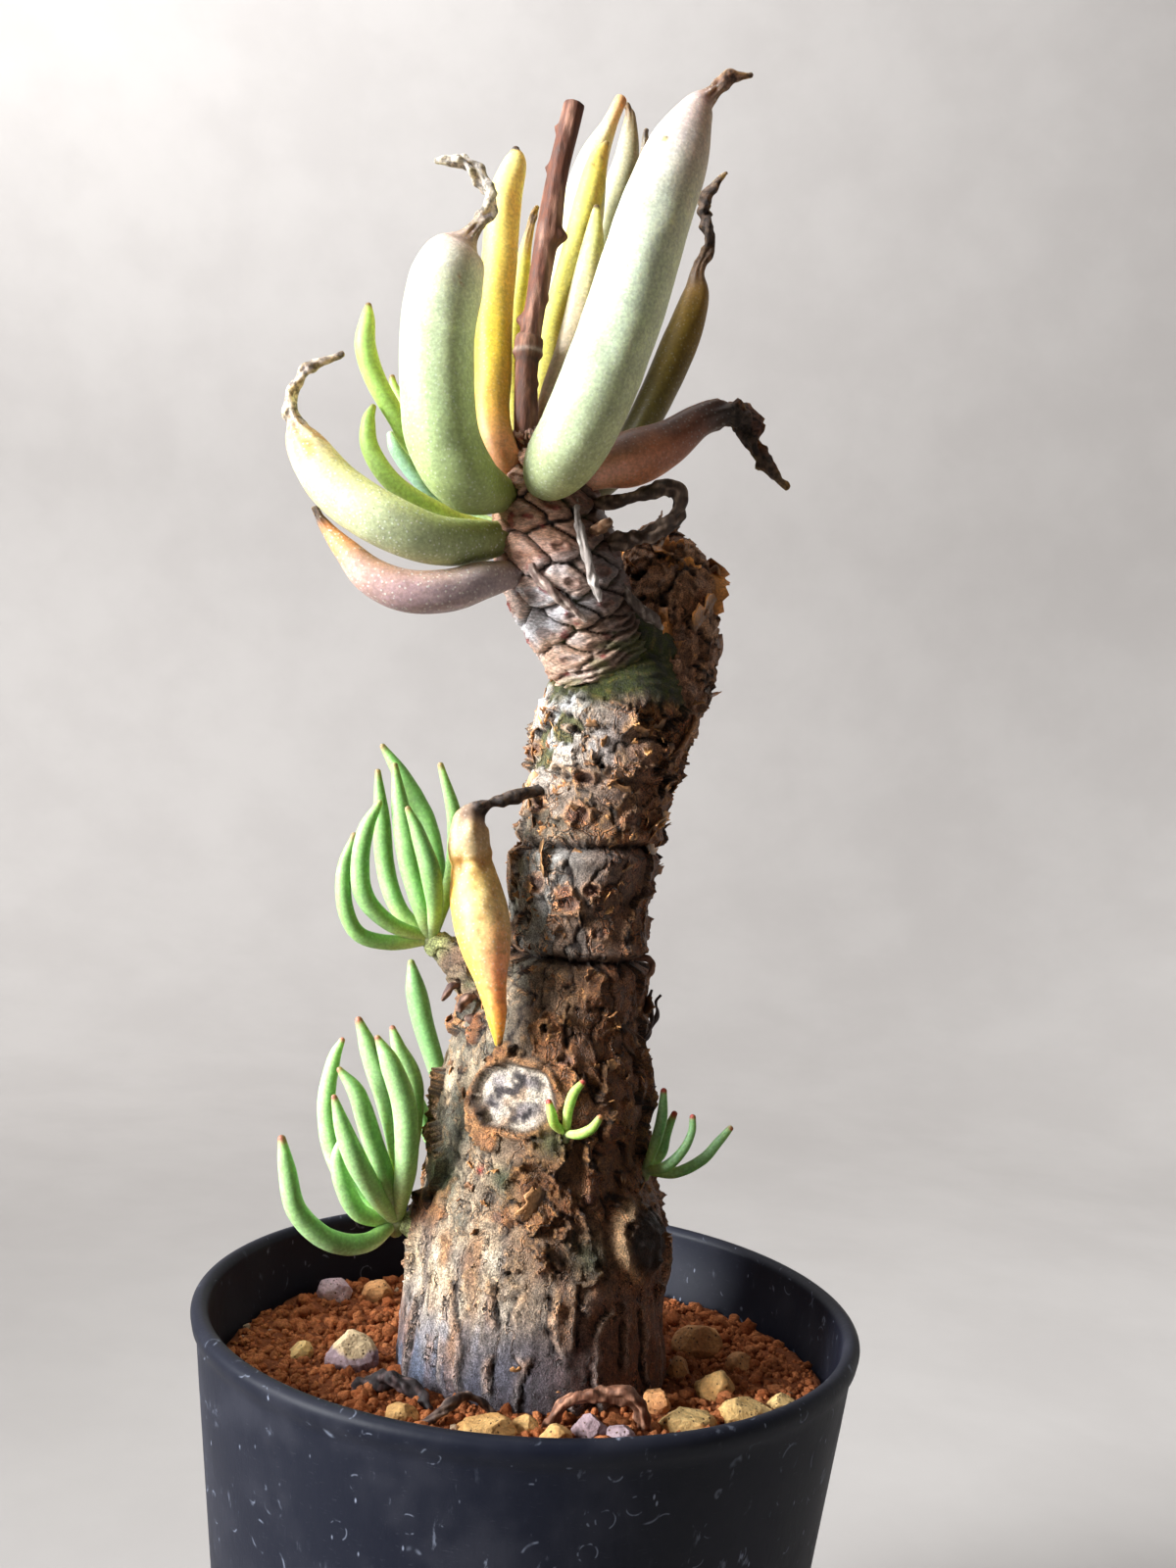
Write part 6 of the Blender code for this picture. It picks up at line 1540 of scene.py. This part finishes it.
SPENT_STOPS = [(0, SOOT), (2.3, (0.05, 0.035, 0.028)), (2.8, (0.30, 0.20, 0.13)), (3.2, (0.50, 0.35, 0.19)),
               (4.3, (0.55, 0.41, 0.21)), (4.9, (0.60, 0.37, 0.13)), (5.6, (0.68, 0.47, 0.15)),
               (6.6, (0.74, 0.55, 0.22)), (7.6, (0.86, 0.55, 0.23)), (8.6, (0.96, 0.47, 0.21)),
               (9.6, (0.98, 0.43, 0.12)), (10.5, (1.0, 0.46, 0.06)), (10.85, (0.25, 0.13, 0.03)), (11, SOOT)]
tint = by_station(spent.level + 0.25 * lumps(where / 1.6, 715), SPENT_STOPS)
# painted shade: above its dried foot the leaf turns orange on the side away from the window, for the warm
# tone of its shaded side
painted_warm_shade_side = ease(0.0, 0.9, -np.sin(spent.turn)) * ease(3.5, 6, spent.level)
tint = layered(
    tint,
    ((1.0, 0.52, 0.07), painted_warm_shade_side * 0.75),
    ((0.50, 0.24, 0.06), ease(0.2, 0.6, lumps(where / 0.8, 716)) * 0.5 * ease(3, 4, spent.level)),
)
points, quads, triangles = spent.pushed(offset)
layers = {"tint": spent.spread(tint), "dry": spent.spread(dry),
          "bloom": spent.spread(np.full(dry.shape, 0.8))}
keep(show("hanging_leaf_spent", make_mesh("hanging_leaf_spent", points, quads, triangles, layers), waxy),
     "amber", "hanging_leaf")


# Dry pieces: a shrivelled leaf looped round beside the stub, thin strips and twigs that cling to
# the bark, and old leaves curled up on the soil. All are brown to black, ridged and twisted.
DRIED_LOOP = [(-1, -9, 187.5, 0.7), (4, -12.5, 187.5, 0.8), (8.5, -14, 189, 0.9), (11.5, -13.5, 189.5, 0.9),
              (12, -12, 186.5, 1), (9, -11, 184, 1.1), (4.5, -10.5, 182.5, 1), (0, -8, 181, 0.8)]
BARK_CURL = [(3.9, -22, 70.5, 0.8), (5.2, -22.8, 74.9, 0.8), (9.6, -23, 76.6, 0.9), (14.3, -22.2, 75.9, 0.9),
             (16.2, -21.6, 70.6, 0.8)]
DEAD_LEAF = [(-22, -15, 71.2, 0.7), (-19.5, -14.5, 72.6, 1), (-16.5, -15.5, 73.6, 1.1),
             (-13.5, -16.5, 73, 0.9), (-11, -18.5, 71.4, 0.6)]
STRAW = [(-12.5, -25.5, 71.6, 0.5), (-9.5, -25, 73.6, 0.6), (-7, -21.5, 74.6, 0.6), (-4.5, -20.3, 73.6, 0.5),
         (-2.5, -20.6, 71.6, 0.4)]


def dry_strip(stations, salt, dark, pale, sides, steps, flat=0.42, turns=0.5):
    """Shape a shrivelled strip: flattened, ridged along its length and slowly twisting."""
    strip = Sleeve(stations, sides=sides, steps=steps, end=0.5)
    where = strip.skin
    twist = strip.turn + strip.travelled * turns + 1.2 * lumps(where / 4, salt)
    relief = 0.18 - flat * np.cos(twist) ** 2 + 0.10 * np.sin(twist * 4)
    offset = strip.radius * (relief + 0.42 * lumps(where / 0.9, salt + 1))
    tint = tinted(dark, pale, ease(-0.1, 0.65, 0.28 * np.sin(twist * 4) + 0.9 * lumps(where / 0.8, salt + 2)))
    layers = {"tint": strip.spread(tint)}
    return *strip.pushed(offset), layers


def lay_strips(name, strips, *nodes):
    """Join dry strips into one piece."""
    keep(show(name, make_mesh(name, *joined(strips)), woody), "dry", *nodes)


# whole pieces: stations, salt, dark and pale colour, sides, steps, how flat and how fast they twist
WHOLE_STRIPS = {
    "dried_loop": (DRIED_LOOP, 720, (0.060, 0.036, 0.024), (0.26, 0.18, 0.13), 34, 20, 0.42, 0.5),
    "bark_curl": (BARK_CURL, 730, (0.15, 0.060, 0.032), (0.36, 0.18, 0.11), 34, 22, 0.5, 0.2),
    "dead_leaf": (DEAD_LEAF, 740, (0.018, 0.012, 0.013), (0.11, 0.075, 0.075), 34, 22, 0.42, 0.5),
    "straw": (STRAW, 750, (0.05, 0.030, 0.026), (0.19, 0.125, 0.095), 26, 22, 0.42, 0.5),
}
for name, strip in WHOLE_STRIPS.items():
    lay_strips(name + "_strip", [dry_strip(*strip)], name)

# bleached strips that hang down the stub, a twig and curls of bark, and bits in the branch's fork:
# sides, steps, and each strip's stations, salt, dark and pale colour
LOOSE_STRIPS = {
    "bleached_strips": (22, 14, [
        ([(-1.2, -13.0, 187.6, 0.25), (-0.9, -14.4, 185.0, 0.5), (0.3, -14.9, 181.0, 0.6),
          (1.6, -14.3, 177.4, 0.55), (2.8, -13.2, 174.5, 0.35)], 760, (0.34, 0.29, 0.26), (0.72, 0.66, 0.60)),
        ([(-6.2, -14.2, 178.4, 0.3), (-5.5, -14.4, 177.0, 0.5), (-2.2, -14.2, 174.3, 0.55),
          (1.2, -12.6, 171.9, 0.3)], 761, (0.26, 0.17, 0.14), (0.62, 0.50, 0.42)),
        ([(5.3, -8.8, 177.6, 0.3), (7.0, -8.3, 175.4, 0.6), (9.6, -7.4, 173.6, 0.75),
          (11.3, -6.2, 172.4, 0.4)], 762, (0.15, 0.11, 0.09), (0.48, 0.40, 0.34)),
        ([(1.2, -12.6, 183.2, 0.5), (2.4, -14.0, 184.0, 0.85), (3.3, -14.5, 184.6, 0.6)],
         763, (0.24, 0.12, 0.06), (0.56, 0.36, 0.22)),
    ]),
    "dead_twig": (18, 12, [
        ([(11.6, -0.5, 115.0, 0.35), (13.2, 0, 116.4, 0.5), (14.2, 1, 118.8, 0.4), (13.6, 2, 121.2, 0.3),
          (13.9, 2, 123.0, 0.2)], 765, (0.045, 0.030, 0.026), (0.16, 0.10, 0.08)),
        ([(13.9, 0.8, 118.0, 0.3), (14.9, 2, 119.6, 0.3), (14.6, 2, 121.4, 0.2), (15.2, 2, 122.4, 0.15)],
         766, (0.045, 0.030, 0.026), (0.16, 0.10, 0.08)),
        ([(11.0, -3, 127.9, 0.3), (12.6, -3, 128.0, 0.5), (13.5, -3, 127.2, 0.5), (13.3, -3, 125.9, 0.35),
          (12.7, -3, 125.5, 0.2)], 767, (0.16, 0.075, 0.045), (0.36, 0.20, 0.12)),
        ([(16.0, 4, 180.3, 0.3), (17.4, 4, 181.2, 0.4), (18.6, 4, 182.4, 0.5), (19.3, 4, 181.6, 0.25)],
         768, (0.20, 0.10, 0.05), (0.48, 0.26, 0.12)),
    ]),
    "stump_bits": (18, 12, [
        ([(-9.6, -5.5, 122.0, 0.6), (-10.8, -7.2, 121.5, 0.8), (-12.0, -7.8, 119.9, 0.5)],
         770, (0.10, 0.055, 0.04), (0.34, 0.20, 0.14)),
        ([(-12.0, -5.5, 123.2, 0.5), (-13.4, -7.0, 122.4, 0.6), (-14.2, -7.0, 120.9, 0.3)],
         771, (0.08, 0.045, 0.04), (0.30, 0.18, 0.13)),
        ([(-8.8, -5.5, 117.6, 0.5), (-9.8, -6.8, 118.6, 0.7), (-11.0, -6.6, 118.8, 0.3)],
         772, (0.10, 0.055, 0.04), (0.34, 0.20, 0.14)),
    ]),
}
for name, (sides, steps, strips) in LOOSE_STRIPS.items():
    lay_strips(name, [dry_strip(*strip, sides=sides, steps=steps) for strip in strips])
